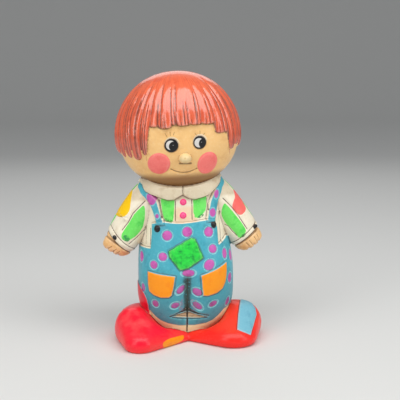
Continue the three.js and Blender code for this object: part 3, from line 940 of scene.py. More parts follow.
# %% Cut the clothes
on_body = ramp(0.9, 0.5, np.abs(at.off_body)) * (at.up < NECK)
shirt_shown = on_body * ramp(0.3, -0.3, np.maximum(at.cloth["straps"], at.cloth["overalls"]))
depth += cut(nearest_line(SHIRT_LINES, at.wrap, at.up), "shirt") * shirt_shown
depth += cut(nearest_line(LEG_LINES, at.wrap, at.up), "leg") * on_body
depth += cut(at.wrap - LEG_PARTING, "parting") * on_body * ramp(54, 48, at.up) * (at.up > 24)
dots = over_dots(DOTS + STRAP_DOTS + DOTS_BEHIND, at.wrap, at.up)
sewn_on = np.max([at.cloth[name] for name in ("pockets", "belly", "knee")], axis=0)
depth += cut(dots + 0.15, "edge") * on_body * ramp(0.3, 1, at.cloth["overalls"]) * ramp(0.4, -0.4, sewn_on)
for name in ("overalls", "straps", "pockets", "belly", "knee", "collar"):
    shown = on_body if name == "collar" else on_body * ramp(0, -0.5, at.cloth["collar"])
    depth += cut(at.cloth[name] + 0.55, "edge") * shown
depth += 1.5 * ramp(-0.3, 0.5, inside(FOLD_GAP, at.wrap, at.up)) * on_body
print("Deepest line in the clothes:", round(float(depth.max()), 2), "mm")

# %% Cut the hair and the face
FINE_HAIR = 0.5
CHEEK_RISE, EYE_RISE = 0.6, 0.45
on_locks = ramp(0.3, 1.2, at.off_head) * ramp(BOWL_EDGE - 1, BOWL_EDGE + 1, at.up)
depth += FINE_HAIR * hair_relief(at.points)[1] * on_locks * ramp(0.5, -0.5, in_window(at.points))
face = (at.y < FACE_FRONT) & (at.up > CHIN) & (at.off_head < 1)
depth += cut(nearest_line([MOUTH], at.x, at.up), "mouth") * face
lip = [(x, z - LIP_BELOW) for x, z in MOUTH[2:-2]]
depth -= cut(nearest_line([lip], at.x, at.up), "lip") * face
depth += cut(nearest_line(LASHES, at.x, at.up), "lash") * face
for middle, halves, tilt in CHEEKS:
    depth -= CHEEK_RISE * ramp(-0.1, 1.2, in_oval(middle, halves, tilt, at.x, at.up)) * face
for x, z, radius in EYES:
    eye = radius - np.hypot(at.x - x, at.up - z)
    depth += (cut(eye + 0.3, "eye") - EYE_RISE * ramp(-0.2, 0.6, eye)) * face
dimple = np.hypot(at.x - NOSE_DIMPLE[0], at.up - NOSE_DIMPLE[1])
depth += cut(dimple, "dimple") * (at.y < NOSE_FRONT) * (at.up < NOSE_TOP)
print("Deepest cut so far:", round(float(depth.max()), 2), "mm")

# %% Cut the shoes, sleeves and hands
on_left_toe = (at.off_body > 0.3) & (at.up < SHOES_BELOW) & (at.x > ARMS_FROM)
blue_patch = np.where(on_left_toe, toe_patches(at.points)[0], OUTSIDE)
depth += cut(blue_patch + 0.5, "toe") - 0.5 * ramp(-0.3, 0.4, blue_patch)
for arm in (RIGHT_ARM, LEFT_ARM):
    side = arm["side"]
    within, down, out, round_arm = in_arm(at.points, arm)
    own = ramp(0, 1, within) * (at.off_body > 0.2) * (at.x * side > ARMS_FROM) * (at.up < CHIN)
    edge = cuff_edge(out, side)
    depth += cut(nearest_line(SLEEVE_LINES[side], down, round_arm), "shirt") * own
    depth += (cut(down - edge, "cuff") + cut(down - edge + CUFF_WIDTH[side], "seam")) * own
    depth += 0.9 * ramp(0, 0.8, down - edge) * ramp(5.2, 4.2, down) * own
    depth += cut(nearest_line(FINGER_LINES[side], down, round_arm), "knuckle") * ramp(5, 7, down) * own
    for gap in FINGER_GAPS:
        depth += cut(out - gap + 0.1 * (down - 10), "finger") * ramp(9, 11.5, down) * own
    if side < 0:
        above = ramp(-15, -15.5, down - 0.12 * (round_arm - 8)) * (round_arm > -2) * (round_arm < 16)
        fold = off_line(ELBOW_FOLD, down, round_arm)
        depth += (cut(fold, "elbow") - 0.6 * above * np.exp(fold / -7)) * own

skin = at.points - normals_of(clown) * depth[:, None]
move_points(clown, skin)
print("Deepest cut:", round(float(depth.max()), 2), "mm")

# %% [markdown]
# ## Hollows and ridges
# Antique wash stays in hollows and rubs off ridges, and shade falls in the broad folds; both are painted
# from these maps. How hollow a place is comes from the mesh: the skin is smoothed in numbers, and where the
# smoothed skin lies outside the real one, there is a hollow. A few steps of smoothing find fine lines, and
# many steps find the broad folds between body, arms and shoes, where the darkening is partly painted shade.


# %% Hollows
def smoothed(points, edges, steps):
    """Moves each point most of the way to the middle of its neighbours, again and again."""
    first, second = edges.T
    count = np.bincount(edges.ravel(), minlength=len(points))[:, None]
    for _ in range(steps):
        total = [
            np.bincount(first, axis[second], len(axis)) + np.bincount(second, axis[first], len(axis))
            for axis in points.T
        ]
        points = 0.3 * points + 0.7 * np.stack(total, axis=1) / count
    return points


edges = np.empty(len(clown.data.edges) * 2, np.int32)
clown.data.edges.foreach_get("vertices", edges)
edges = edges.reshape(-1, 2)
skin_normals = normals_of(clown)
FINE_STEPS, BROAD_STEPS = 6, 60
fine_skin = smoothed(skin, edges, FINE_STEPS)
broad_skin = smoothed(fine_skin, edges, BROAD_STEPS)
hollow = ((fine_skin - skin) * skin_normals).sum(1)
broad_hollow = ((broad_skin - skin) * skin_normals).sum(1)
print("Hollows of up to", round(float(hollow.max()), 2), "and", round(float(broad_hollow.max()), 2), "mm")

# %% [markdown]
# ## Borders of the paint
# Each colour's area is again a signed distance. Where two outlines give one colour, such as the stripes of
# chest and sleeves, the larger distance counts, and limits on a form are the smaller one of two.


# %% Areas on the clothes
class Areas(dict):
    """How far inside each colour's area every point lies, in mm."""

    def add(self, name, *limits):
        area = limits[0]
        for limit in limits[1:]:
            area = np.minimum(area, limit)
        self[name] = np.maximum(self.get(name, OUTSIDE), area)


STRAP_OVER_SLEEVE = 2.5  # a strap's paint runs this much over the shoulder


def clothes_areas(areas, at):
    cloth, wrap, up, on_cloth = at.cloth, at.wrap, at.up, at.on_cloth
    off_collar = -cloth["collar"] - 0.1
    teal = np.maximum(cloth["overalls"], cloth["straps"]) - 0.45
    over_sleeve = np.where(cloth["straps"] > cloth["overalls"], STRAP_OVER_SLEEVE, 0)
    areas.add("teal", teal, on_cloth + over_sleeve, off_collar)
    areas.add("dots", over_dots(DOTS + DOTS_BEHIND, wrap, up), cloth["overalls"] - 0.4, on_cloth, off_collar)
    areas.add("dots", over_dots(STRAP_DOTS, wrap, up), cloth["straps"] + 0.6, on_cloth, off_collar)
    front_collar = np.where(at.y < 0, off_collar, -9)
    for stripe in CHEST_STRIPES:
        areas.add("stripes", inside(soften(stripe, 1), wrap, up), on_cloth, -teal - 0.2, front_collar)
    for x, z, half_x, half_z, tilt in CHEST_BLOTS:
        areas.add("blots", in_oval((x, z), (half_x, half_z), tilt, wrap, up), on_cloth)
    areas.add("belly", cloth["belly"], on_cloth)
    areas.add("pockets", cloth["pockets"] - 0.35, on_cloth)
    areas.add("knee", cloth["knee"] - 0.2, 1.6 - at.off_body)
    areas.add("fold_gap", inside(FOLD_GAP, wrap, up), on_cloth + 1.5)
    front = np.where(at.y < 0, -OUTSIDE, OUTSIDE)
    areas.add("shadow", inside(FOLD_SHADOW, wrap, up), front)
    areas.add("shadow", 0.75 - np.abs(wrap - LEG_PARTING), up - 7, 30 - up, on_cloth + 2, front)


# %% Areas on the arms
def arm_areas(areas, at):
    for arm in (RIGHT_ARM, LEFT_ARM):
        side = arm["side"]
        within, down, out, round_arm = in_arm(at.points, arm)
        own = np.minimum(np.minimum(within, at.off_body - 0.5), at.x * side - ARMS_FROM)
        own = np.minimum(own, NECK - at.up)
        for stripe in (SLEEVE_STRIPES[side], OUTER_STRIPE, HIND_STRIPE):
            areas.add("stripes", inside(soften(stripe, 1), down, round_arm), own)
        name, patch = SLEEVE_PATCHES[side]
        areas.add(name, inside(soften(patch), down, round_arm), own)
        blot = SLEEVE_BLOTS[side]
        areas.add("blots", in_oval(blot[:2], blot[2:], 0, down, round_arm), own)
        areas.add("hands", own, down - cuff_edge(out, side))


# %% Areas on head, shoes and buttons
def head_areas(areas, at):
    areas.add("head", np.abs(at.off_body) - np.abs(at.off_head), at.up - 112)
    window = in_window(at.points)
    ends = np.minimum(lock_end(at.points), BOWL_EDGE + 1) - 1.2
    under_hair = np.where(at.off_head > 0.1, -OUTSIDE, at.off_head + 0.3)
    low_edge = np.where((at.up < BOWL_EDGE + 5) & (window < 0.3), at.off_head - 0.55, -OUTSIDE)
    areas.add("hair", 0.55 - window, at.up - ends, under_hair, low_edge)
    for middle, halves, tilt in CHEEKS:
        areas.add("coral", in_oval(middle, halves, tilt, at.x, at.up) - 0.1, FACE_FRONT - at.y, at.up - CHIN)


def shoe_areas(areas, at):
    areas.add("shoes", at.off_body - 0.25, SHOES_BELOW - at.up)
    blue, orange = toe_patches(at.points)
    areas.add("toe_blue", blue, areas["shoes"], at.x - ARMS_FROM)
    areas.add("toe_orange", orange, areas["shoes"])


def button_areas(areas, at):
    for x, y, z, radius, colour in BUTTONS:
        areas.add(colour, radius + 0.15 - np.linalg.norm(at.points - np.array((x, y, z)), axis=1))


def paint_areas(at):
    areas = Areas()
    for part in (clothes_areas, arm_areas, head_areas, shoe_areas, button_areas):
        part(areas, at)
    return areas


areas = paint_areas(Places(skin))
print("Areas:", ", ".join(areas))

# %% [markdown]
# ## Thinning out
# The skin has far more points than its plain areas need. Decimate takes them out there. A vertex group
# keeps them where a painted border or a cut line runs, so that borders stay sharp.

# %% Decimate
TRIANGLES = 192000


def triangles_of(form):
    return sum(len(face.vertices) - 2 for face in form.data.polygons)


border = np.min([np.abs(values) for values in areas.values()], axis=0)
for x, z, radius in EYES:
    border = np.minimum(border, np.abs(radius + 0.6 - np.hypot(skin[:, 0] - x, skin[:, 2] - z)))
busy = (border < 0.5) | (np.abs(hollow) > 0.12) | (np.abs(dots + 0.6) < 0.8)
thin_out = clown.vertex_groups.new(name="thin_out")
thin_out.add([int(index) for index in np.flatnonzero(~busy)], 1.0, "REPLACE")
before = triangles_of(clown)
tree = kdtree.KDTree(len(skin))
for index, point in enumerate(skin):
    tree.insert(point, index)
tree.balance()
finish_with(clown, "DECIMATE", ratio=TRIANGLES / before, vertex_group="thin_out", vertex_group_factor=0.5)
clown.vertex_groups.clear()
print("Triangles:", before, "->", triangles_of(clown))

# %% [markdown]
# ## Paint maps
# Every colour's signed distance is stored on the points as an attribute. The material turns it into a crisp
# border, and its noise makes that border as uneven as a brush leaves it.


# %% Store the maps
def store(form, name, values, kind="FLOAT"):
    attribute = form.data.attributes.new(name, kind, "POINT")
    target = "value" if kind == "FLOAT" else "vector"
    attribute.data.foreach_set(target, np.asarray(values, np.float32).ravel())


skin = points_of(clown)
at = Places(skin)
nearest = np.array([tree.find(point)[1] for point in skin])
for name, values in paint_areas(at).items():
    store(clown, name, np.clip(values, OUTSIDE, -OUTSIDE))
store(clown, "hollow", hollow[nearest])
store(clown, "broad_hollow", broad_hollow[nearest])
store(clown, "upright", skin, "FLOAT_VECTOR")
store(clown, "wrap", at.wrap)
print("Maps:", len(clown.data.attributes))

# %% Store the lines that the wash fills
FAR_OFF = 9
cut_line = nearest_line(SHIRT_LINES, at.wrap, at.up)
cut_line = np.where((np.abs(at.off_body) < 1.2) & (at.up < NECK), cut_line, FAR_OFF)
leg_line = nearest_line(LEG_LINES, at.wrap, at.up)
cut_line = np.minimum(cut_line, np.where((at.up < 60) & (at.y < 0), leg_line, FAR_OFF))
for arm in (RIGHT_ARM, LEFT_ARM):
    side = arm["side"]
    within, down, out, round_arm = in_arm(skin, arm)
    own = (within > 0) & (at.off_body > 0.4) & (at.x * side > ARMS_FROM) & (at.up < CHIN)
    off_cuff = down - cuff_edge(out, side)
    off_seams = np.minimum(np.abs(off_cuff), np.abs(off_cuff + CUFF_WIDTH[side]))
    lines = np.minimum(nearest_line(SLEEVE_LINES[side], down, round_arm), off_seams)
    cut_line = np.minimum(cut_line, np.where(own, lines, FAR_OFF))
store(clown, "cut_line", cut_line)
groove, fine_lines = hair_relief(skin)
hair_line = np.maximum(groove / LOCK_GROOVE - 0.15, 0.75 * fine_lines)
store(clown, "hair_line", hair_line * ramp(BOWL_EDGE - 5, BOWL_EDGE, at.up))
store(clown, "fringe_edge", np.abs(in_window(skin) - 0.6))
print("Maps:", len(clown.data.attributes))

# %% [markdown]
# ## Standing the figure
# From the knees up the figure leans to its right, as the real one does. Then it is brought to metres, and
# the middle of its box is set over the origin, where the solid has it.

# %% Lean and place
KNEE, HIP, PIVOT = 35, 80, 48
SOLE_TRIM = 0.2  # cut flat below, so that the figure stands on its soles and not on a point
lean = math.sin(LEAN) * ramp(KNEE, HIP, skin[:, 2])
stood = skin.copy()
stood[:, 0] = skin[:, 0] - lean * (skin[:, 2] - PIVOT)
stood[:, 2] = skin[:, 2] + lean * skin[:, 0]
stood[:, 2] = np.maximum(stood[:, 2] - SOLE_TRIM - stood[:, 2].min(), 0)
cad_middle = (np.array(cad_low) + np.array(cad_high)) / 2 / MM
box_middle = (stood.min(0) + stood.max(0)) / 2
stood[:, :2] += cad_middle[:2] - box_middle[:2]
move_points(clown, stood * MM)
clown.data.shade_smooth()
print("Size in mm:", np.round(stood.max(0) - stood.min(0), 2))

# %% [markdown]
# ## Shader maths as Python
# A material is a net of nodes, and a long formula is hard to read there. This small class wraps a socket,
# so that `1 - mask * 0.5` adds the Math nodes by itself.


# %% The wire and the paint box
class Wire:
    """A node's output that takes part in Python's sums."""

    def __init__(self, box, socket):
        self.box = box
        self.socket = socket

    def maths(self, operation, *values):
        return self.box.node("ShaderNodeMath", {"operation": operation}, *values)

    def __add__(self, other):
        return self.maths("ADD", self, other)

    def __sub__(self, other):
        return self.maths("SUBTRACT", self, other)

    def __mul__(self, other):
        return self.maths("MULTIPLY", self, other)

    def __rsub__(self, other):
        return self.maths("SUBTRACT", other, self)

    __radd__ = __add__
    __rmul__ = __mul__

    def least(self, other):
        return self.maths("MINIMUM", self, other)

    def most(self, other):
        return self.maths("MAXIMUM", self, other)

    def size(self):
        return self.maths("ABSOLUTE", self)

    def power(self, other):
        return self.maths("POWER", self, other)


class PaintBox:
    """A material's nodes, and the colour that has been laid on so far."""

    def __init__(self, name):
        self.material = bpy.data.materials.new(name)
        self.material.use_nodes = True
        self.tree = self.material.node_tree
        self.tree.nodes.clear()
        self.colour = None

    def node(self, kind, settings=None, *values, output=0, **sockets):
        """Any node, with its settings and what goes into its sockets, by place or by name."""
        node = self.tree.nodes.new(kind)
        for name, value in (settings or {}).items():
            setattr(node, name, value)
        for key, value in list(enumerate(values)) + list(sockets.items()):
            self.fill(node.inputs[key if isinstance(key, int) else key.replace("_", " ")], value)
        return Wire(self, node.outputs[output]) if node.outputs else node

    def fill(self, socket, value):
        if isinstance(value, Wire):
            self.tree.links.new(value.socket, socket)
        else:
            socket.default_value = value

    def map(self, name, output="Fac"):
        """A map stored on the points."""
        settings = {"attribute_name": name, "attribute_type": "GEOMETRY"}
        return self.node("ShaderNodeAttribute", settings, output=output)

    def ramp(self, value, low, high, to_low=0.0, to_high=1.0):
        settings = {"interpolation_type": "SMOOTHSTEP"}
        return self.node("ShaderNodeMapRange", settings, value, low, high, to_low, to_high)

    def noise(self, place, size, detail):
        """Noise whose patches are about `size` mm wide."""
        return self.node("ShaderNodeTexNoise", output="Fac", Vector=place, Scale=1 / size, Detail=detail)

    def mix(self, under, over, share):
        """Two colours mixed. Sockets 0, 6 and 7 are those of the node's colour mode."""
        mixed = self.node("ShaderNodeMix", {"data_type": "RGBA"}, output=2)
        for index, value in ((0, share), (6, under), (7, over)):
            self.fill(mixed.socket.node.inputs[index], value)
        return mixed

    def lay(self, over, where):
        """Paints over the colour so far, where the mask is white."""
        self.colour = self.mix(self.colour, over, where)


def paint(code):
    """A paint's colour, from the code of its look in daylight."""
    channels = [int(code[i : i + 2], 16) / 255 for i in (0, 2, 4)]
    linear = [c / 12.92 if c <= 0.04045 else ((c + 0.055) / 1.055) ** 2.4 for c in channels]
    return (*linear, 1.0)


# %% [markdown]
# ## The paint
# The order is the painter's own, with painted light and shade laid in among the coats. Cream slip first,
# then the flat colours inside their lines, then thin brown in every hollow, with painted shade in the broad
# folds, and a lighter cream on the ridges. Gloss varies from colour to colour: the hair shines most.
# Everything uneven comes from a few noises: two brushes, a speckle and a wobble of edges.

# %% Brushes
EDGE = 0.12
box = PaintBox("hand_painted_ceramic")
upright = box.map("upright", "Vector")
brush = box.noise(upright, 7, detail=3)
small_brush = box.noise(upright, 1.6, detail=3)
speckle = box.noise(upright, 0.7, detail=2)
wobble = (box.noise(upright, 3.2, detail=2) - 0.5) * 0.9 + (box.noise(upright, 1.1, detail=1) - 0.5) * 0.35
split = box.node("ShaderNodeSeparateXYZ", None, upright)
across_face, depth_face, up_face = [Wire(box, output) for output in split.socket.node.outputs]
in_front = box.ramp(depth_face, -6, -12)


def covers(name, wobbly=1.0, inset=0.0):
    """Where a colour covers: inside its outline, less an inset, with an edge that wobbles so much."""
    return box.ramp(box.map(name) - inset + wobble * wobbly, -EDGE, EDGE)


def by_height(black, white):
    """A soft change of a mask between two heights: black at the first, white at the second."""
    return box.ramp(up_face, black, white)


def patchy(low, high):
    """Patches such as a nearly dry brush leaves."""
    return box.ramp(small_brush, low, high)


def tint(colour, darker, lighter):
    """A paint that a brush has left uneven."""
    shade = box.mix(paint(darker), paint(colour), box.ramp(brush, 0.3, 0.5))
    return box.mix(shade, paint(lighter), patchy(0.45, 0.85) * 0.55)


print("Nodes for the brushes:", len(box.tree.nodes))

# %% Slip and skin
box.colour = tint("f1e7cf", "eaddc2", "f8f1df")
# Painted shade: the top of the collar in front is darker, under the chin.
chin_shade_on_collar = box.ramp(box.map("wrap").size(), 90, 70) * by_height(106, 109) * in_front
box.lay(tint("dccdb0", "cbb896", "e9dec6"), chin_shade_on_collar)
placket = box.ramp(box.map("wrap").size(), 10, 8) * by_height(104, 101) * in_front
box.lay(tint("efd4b2", "e2c4a0", "f6e4ca"), placket)
# Painted light: the band above the shoes is paler and greener than the slip, to keep it bright in its recess
# and to cancel the red light the shoes throw on it.
box.lay(tint("f0fec8", "e4f4b8", "f8ffe4"), by_height(27, 25))
# The skin darkens under the chin: painted shade, with a little wash.
skin_with_chin_shade = box.mix(tint("f6c682", "eebb78", "fad6a0"), paint("93693f"), by_height(129, 123) * 0.95)
box.lay(skin_with_chin_shade, covers("head", 0.3))
blush = patchy(0.35, 0.6) * by_height(76, 69) * box.ramp(across_face, -30, -36)
hand_paint = box.mix(tint("f4c486", "e6ae70", "f9d29e"), paint("d8705a"), blush * 0.5)
box.lay(hand_paint, covers("hands", 0.3))
print("Nodes with slip and skin:", len(box.tree.nodes))

# %% Overalls and shirt
# Teal is darker towards the bottom, partly painted shade of the lower legs.
teal = box.mix(tint("4cafc1", "409fb3", "64c2cf"), tint("469cab", "3c8c9c", "62acb4"), by_height(60, 38))
box.lay(teal, covers("teal", 0.45))
dots = box.map("dots") + wobble * 0.35
# Painted highlight: a pale ring on the raised rim round each dot.
ring = box.ramp(dots, -1.25, -0.85) * box.ramp(dots, -0.1, -0.4) * box.ramp(box.map("teal"), 0.2, 0.6)
box.lay(paint("a4dbe0"), ring * patchy(0.25, 0.5) * 0.6)
dot_paint = tint("cc5eb2", "ba4da0", "dc7cc4")
# The dots too are darker towards the bottom, partly painted shade.
low_dots = box.mix(dot_paint, tint("a85494", "8f4580", "bc6ca6"), by_height(56, 32))
box.lay(low_dots, covers("dots", 0.5))
box.lay(tint("70e864", "52da54", "90f284"), covers("stripes", 0.5, inset=0.2))
box.lay(paint("2c8a4a"), covers("blots", 1.2) * patchy(0.3, 0.55) * 0.85)
green = box.mix(paint("22b844"), paint("2fdc48"), box.ramp(speckle * 0.5 + small_brush * 0.6, 0.28, 0.48))
green = box.mix(paint("0f7f3a"), green, box.ramp(box.map("belly") + wobble * 2.4, 0.0, 1.4))
box.lay(green, covers("belly", 0.5))
box.lay(tint("ff9a00", "fb8f00", "ffa612"), covers("pockets", 0.35))
box.lay(tint("ffcc00", "fabf00", "ffd614"), covers("yellow", 0.6))
coral = box.mix(tint("fd6f66", "f0605a", "ff8a7e"), tint("ff7d76", "f9706a", "ff9288"), by_height(118, 122))
box.lay(coral, covers("coral", 0.3))
box.lay(tint("dd0f2e", "c80a28", "f02a40"), covers("knee", 0.5))
box.lay(tint("cfae88", "b8946e", "e0c4a2"), covers("fold_gap", 0.3))
print("Nodes with the clothes:", len(box.tree.nodes))

# %% Shoes
toe_mix = box.ramp(box.noise(upright, 16, detail=2), 0.35, 0.65)
left_red = box.mix(paint("ff2418"), paint("ff3a22"), box.ramp(up_face + brush * 6, 12, 17))
right_red = box.mix(paint("ff0a30"), paint("ff3f38"), box.ramp(up_face + toe_mix * 6, 14, 4) * 0.8)
red = box.mix(right_red, left_red, box.ramp(across_face, -2, 2))
red = box.mix(red, paint("ff5f58"), patchy(0.5, 0.85) * 0.25)
# Painted highlight: lighter coral on the outer side of the figure's right shoe.
shoe_side_sheen = box.ramp(across_face, -24, -34) * by_height(8, 18) * box.ramp(brush, 0.3, 0.75)
red = box.mix(red, paint("ff6e68"), shoe_side_sheen * 0.45)
box.lay(red, covers("shoes", 0.3))
box.lay(tint("ff9a0a", "f58a00", "ffb030"), covers("toe_orange", 0.6))
box.lay(tint("78b9cc", "68aac0", "94cbd9"), covers("toe_blue", 0.25))
print("Nodes with the shoes:", len(box.tree.nodes))

# %% [markdown]
# The hair is paler on the crown and darker at its ends. Fine combed strokes run from the crown's middle:
# they are noise on the direction of a place alone, so each stroke keeps its angle all the way out.

# %% Hair and buttons
top_orange = tint("f56836", "ea5626", "fb804e")
orange = box.mix(tint("e55c30", "d54a20", "f07846"), top_orange, by_height(172, 190))
orange = box.mix(tint("cf4a22", "bc3e18", "dc643a"), orange, by_height(144, 164))
flat_place = box.node("ShaderNodeVectorMath", {"operation": "MULTIPLY"}, upright, (1, 1, 0))
direction = box.node("ShaderNodeVectorMath", {"operation": "NORMALIZE"}, flat_place)
comb = box.ramp(box.noise(direction, 0.028, detail=3), 0.38, 0.62) * by_height(158, 180)
box.lay(box.mix(orange, paint("b8431e"), comb * 0.4), covers("hair", 0.15))
box.lay(paint("15161a"), covers("black", 0.2))
box.lay(paint("ff2a86"), covers("pink", 0.3))
print("Nodes with the hair:", len(box.tree.nodes))

# %% [markdown]
# The eyes are painted discs with a white crescent and a big dark pupil that looks to one side. They are
# too fine for a map on the points, so they are drawn with circles in the face's own coordinates.

# %% Eyes, lashes and nose
DISC_EDGE = 0.14
face_front = box.ramp(depth_face, -24, -26)


def length_of(off_x, off_z):
    return (off_x * off_x + off_z * off_z).power(0.5)


def disc(x, z, radius):
    """A painted disc in the face's plane."""
    reach = length_of(across_face - x, up_face - z) + wobble * 0.12
    return box.ramp(reach, radius + DISC_EDGE, radius - DISC_EDGE) * face_front


def stroke(start, end, width):
    """A short painted line between two places on the face."""
    run, rise = end[0] - start[0], end[1] - start[1]
    length = run * run + rise * rise
    share = ((across_face - start[0]) * run + (up_face - start[1]) * rise) * (1 / length)
    share = share.most(0).least(1)
    reach = length_of(across_face - start[0] - share * run, up_face - start[1] - share * rise)
    return box.ramp(reach, width, width * 0.3) * face_front


eyes = face_front * 0
for (x, z, radius), (white, pupil) in zip(EYES, EYE_WHITES):
    # Painted highlight on the raised upper rim of each eye.
    box.lay(paint("f7e3c4"), disc(x + 0.4, z + 0.7, radius + 0.5) * by_height(z - 1, z + 3) * 0.8)
    eye_disc = disc(x, z, radius)
    box.lay(paint("100e12"), eye_disc)
    eyes = eyes + eye_disc
    box.lay(paint("d9d5d0"), disc(*white) * (1 - disc(*pupil)))
    # A painted glint in each pupil.
    box.lay(paint("bdb9bb"), disc(x + 1.2, z + 0.1, 0.3) * 0.6)
    for start, end in LASHES:  # gone over with each eye, so every lash has two thin coats
        box.lay(paint("a3763f"), stroke(start, end, 0.3) * 0.6)
nose_tip = box.ramp(depth_face, -36.5, -38) * by_height(130, 132) * by_height(144, 142)
box.lay(paint("dccf9e"), nose_tip * 0.55)
# Painted shadow under the nose.
box.lay(paint("5c3f22"), stroke((-2.6, 134.9), (5.2, 134.5), 1.1) * 0.75)
print("Nodes with the face:", len(box.tree.nodes))

# %% [markdown]
# ## Brown wash, painted shade and lighter ridges
# The wash follows the two hollow maps, the cut lines and the lines in the hair. In the broad folds, under
# the fringe and in the valley between the legs it is partly painted shade. A little cream goes on the
# ridges. The eyes stay clear of both, and the trousers' hem stays pale, as painted light.

# %% Wash, painted shade and lighter ridges
clear = 1 - eyes.least(1)
on_hair = covers("hair", 0.15)
off_teal = 1 - covers("teal")
# Where the hem band is, most wash and painted shade are left off, as painted light.
hem_band = by_height(27, 25) * (1 - covers("shoes")) * off_teal
hollow_map = box.map("hollow")
line_wash = box.ramp(box.map("cut_line") + wobble * 0.25, 0.45, 0.12)
line_wash = line_wash * box.ramp(speckle + small_brush, 0.65, 0.95)
smile = by_height(118, 121) * by_height(132, 130) * in_front * covers("head", 0.3)
box.lay(paint("4e2c18"), line_wash * (1 - smile * 0.45) * 0.9)
fine_wash = box.ramp(hollow_map, 0.05, 0.22) * clear * (1 - hem_band * 0.6)
box.lay(box.mix(paint("573018"), paint("7c3016"), on_hair), fine_wash * 0.6)
# Partly brown wash and partly painted shade, in the broad folds between body, arms and shoes.
broad_wash_and_shade = box.ramp(box.map("broad_hollow"), 0.45, 1.9) * clear * (1 - hem_band * 0.8)
on_cream = by_height(62, 66) * off_teal * (1 - on_hair)
box.lay(box.mix(paint("3a2c1c"), paint("7a3018"), on_hair), broad_wash_and_shade * (0.35 - on_cream * 0.175))
streak = box.ramp(box.map("hair_line") + (small_brush - 0.5) * 0.9, 0.25, 0.7) * on_hair
box.lay(paint("5a2412"), streak * 0.75)
# Dark edge under the fringe: partly brown wash, partly painted shade.
fringe_wash_and_shade = box.ramp(box.map("fringe_edge") + wobble * 0.5, 0.7, 0.25) * by_height(143, 146) * in_front
box.lay(paint("6a3a1c"), fringe_wash_and_shade * patchy(0.3, 0.5) * 0.7)
box.lay(paint("241c14"), covers("shadow", 0.5) * 0.85)
off_parting = (box.map("wrap") - LEG_PARTING).size()
# Darker in the valley between the legs: partly wash, partly painted shade.
valley = box.ramp(off_parting + wobble * 2.2, 3.8, 1.6) * by_height(56, 48) * by_height(22, 28)
box.lay(paint("2f382a"), valley * in_front * patchy(0.2, 0.45) * 0.85)
smear = box.ramp((off_parting - 4.8).size() + wobble * 2, 2.4, 1.0)
smear = smear * box.ramp((up_face - 30).size(), 5.5, 3.5)
box.lay(paint("8f6a86"), smear * in_front * patchy(0.35, 0.55) * 0.6)
ridges = box.ramp(hollow_map, -0.05, -0.2) * (1 - covers("black")) * clear
box.lay(paint("fff0dc"), ridges * 0.175)
print("Nodes with the wash:", len(box.tree.nodes))

# %% [markdown]
# ## Glaze
# The varnish is a coat over everything, thick on the hair and thin elsewhere. The brushes raise the surface
# a little too, and the combed strokes sink into it.

# %% Glaze
varnish = on_hair * 0.8 + covers("shoes", 0.3) * 0.05 + 0.1
bump_height = brush * 0.5 + small_brush * 0.3 + speckle * 0.12 - comb * on_hair * 0.5
shader = box.node(
    "ShaderNodeBsdfPrincipled",
    Base_Color=box.colour,
    Roughness=box.ramp(box.noise(upright, 5, detail=3), 0.3, 0.7, 0.3, 0.42),
    Normal=box.node("ShaderNodeBump", Strength=0.35, Distance=0.0004, Height=bump_height),
    IOR=1.5,
    Specular_IOR_Level=0.3,
    Coat_Weight=varnish,
    Coat_Roughness=0.13,
    Coat_IOR=1.8,
)
box.node("ShaderNodeOutputMaterial", Surface=shader)
clown.data.materials.clear()
clown.data.materials.append(box.material)
print("Nodes in the paint:", len(box.tree.nodes))

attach(clown, "root")
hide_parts("clown_figurine")

# %% [markdown]
# ## Floor and light
# A plain pale floor that bends up into a backdrop, and soft studio light: one large softbox above and in
# front, as the streaks on the fringe show, weaker ones on both sides and behind, and a pale world.

# %% Floor
BACKDROP = 6  # half the floor's side, in metres, and the backdrop's height
BACKDROP_ROUND = 2.5


def edit_edges(form, wanted):
    """Opens a form for editing, with those edges selected whose two ends are wanted."""
    for edge in form.data.edges:
        edge.select = all(wanted(form.data.vertices[index].co) for index in edge.vertices)
    bpy.ops.object.mode_set(mode="EDIT")


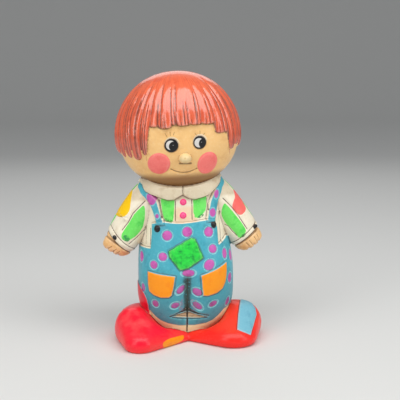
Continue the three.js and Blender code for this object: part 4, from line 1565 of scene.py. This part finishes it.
clear_bench()
bpy.ops.mesh.primitive_plane_add(size=2 * BACKDROP, location=(0, 0, 0))
floor = bpy.context.object
floor.name = "floor"
bpy.ops.object.mode_set(mode="EDIT")
bpy.ops.mesh.select_mode(type="EDGE")
bpy.ops.mesh.select_all(action="DESELECT")
bpy.ops.object.mode_set(mode="OBJECT")
edit_edges(floor, lambda end: end.y > 0)
bpy.ops.mesh.extrude_region_move(TRANSFORM_OT_translate={"value": (0, 0, BACKDROP)})
bpy.ops.object.mode_set(mode="OBJECT")
edit_edges(floor, lambda end: end.y > 0 and end.z < 0.01)
bpy.ops.mesh.bevel(offset=BACKDROP_ROUND, segments=16)
bpy.ops.object.mode_set(mode="OBJECT")
floor.data.shade_smooth()
plain = PaintBox("pale_floor")
plain_shader = plain.node("ShaderNodeBsdfPrincipled", Base_Color=(0.72, 0.72, 0.7, 1), Roughness=0.8)
plain.node("ShaderNodeOutputMaterial", Surface=plain_shader)
floor.data.materials.append(plain.material)
print("Floor:", len(floor.data.polygons), "faces")

# %% Lights and view
LIT_PLACE = Vector((0, 0, 0.1))
SOFTBOXES = [  # where, width and height, all in metres, and watts
    ("above", (0.0, -0.45, 0.95), (1.7, 0.7), 10.0),
    ("left", (-1.0, -0.9, 0.5), (0.6, 0.8), 3.5),
    ("right", (1.0, -0.8, 0.45), (0.6, 0.8), 3.1),
    ("back", (0.1, 1.1, 0.8), (0.9, 0.6), 1.5),
]
for name, place, light_size, watts in SOFTBOXES:
    light = bpy.data.lights.new("softbox_" + name, "AREA")
    light.shape = "RECTANGLE"
    light.size, light.size_y = light_size
    light.energy = watts
    lamp = bpy.data.objects.new(light.name, light)
    bpy.context.scene.collection.objects.link(lamp)
    lamp.location = place
    lamp.rotation_euler = (LIT_PLACE - Vector(place)).to_track_quat("-Z", "Y").to_euler()
world = bpy.data.worlds.new("studio")
world.use_nodes = True
background = world.node_tree.nodes["Background"]
background.inputs["Color"].default_value = (0.95, 0.97, 1, 1)
background.inputs["Strength"].default_value = 0.33
bpy.context.scene.world = world
bpy.context.scene.view_settings.view_transform = "Standard"
print("Softboxes:", len(SOFTBOXES))
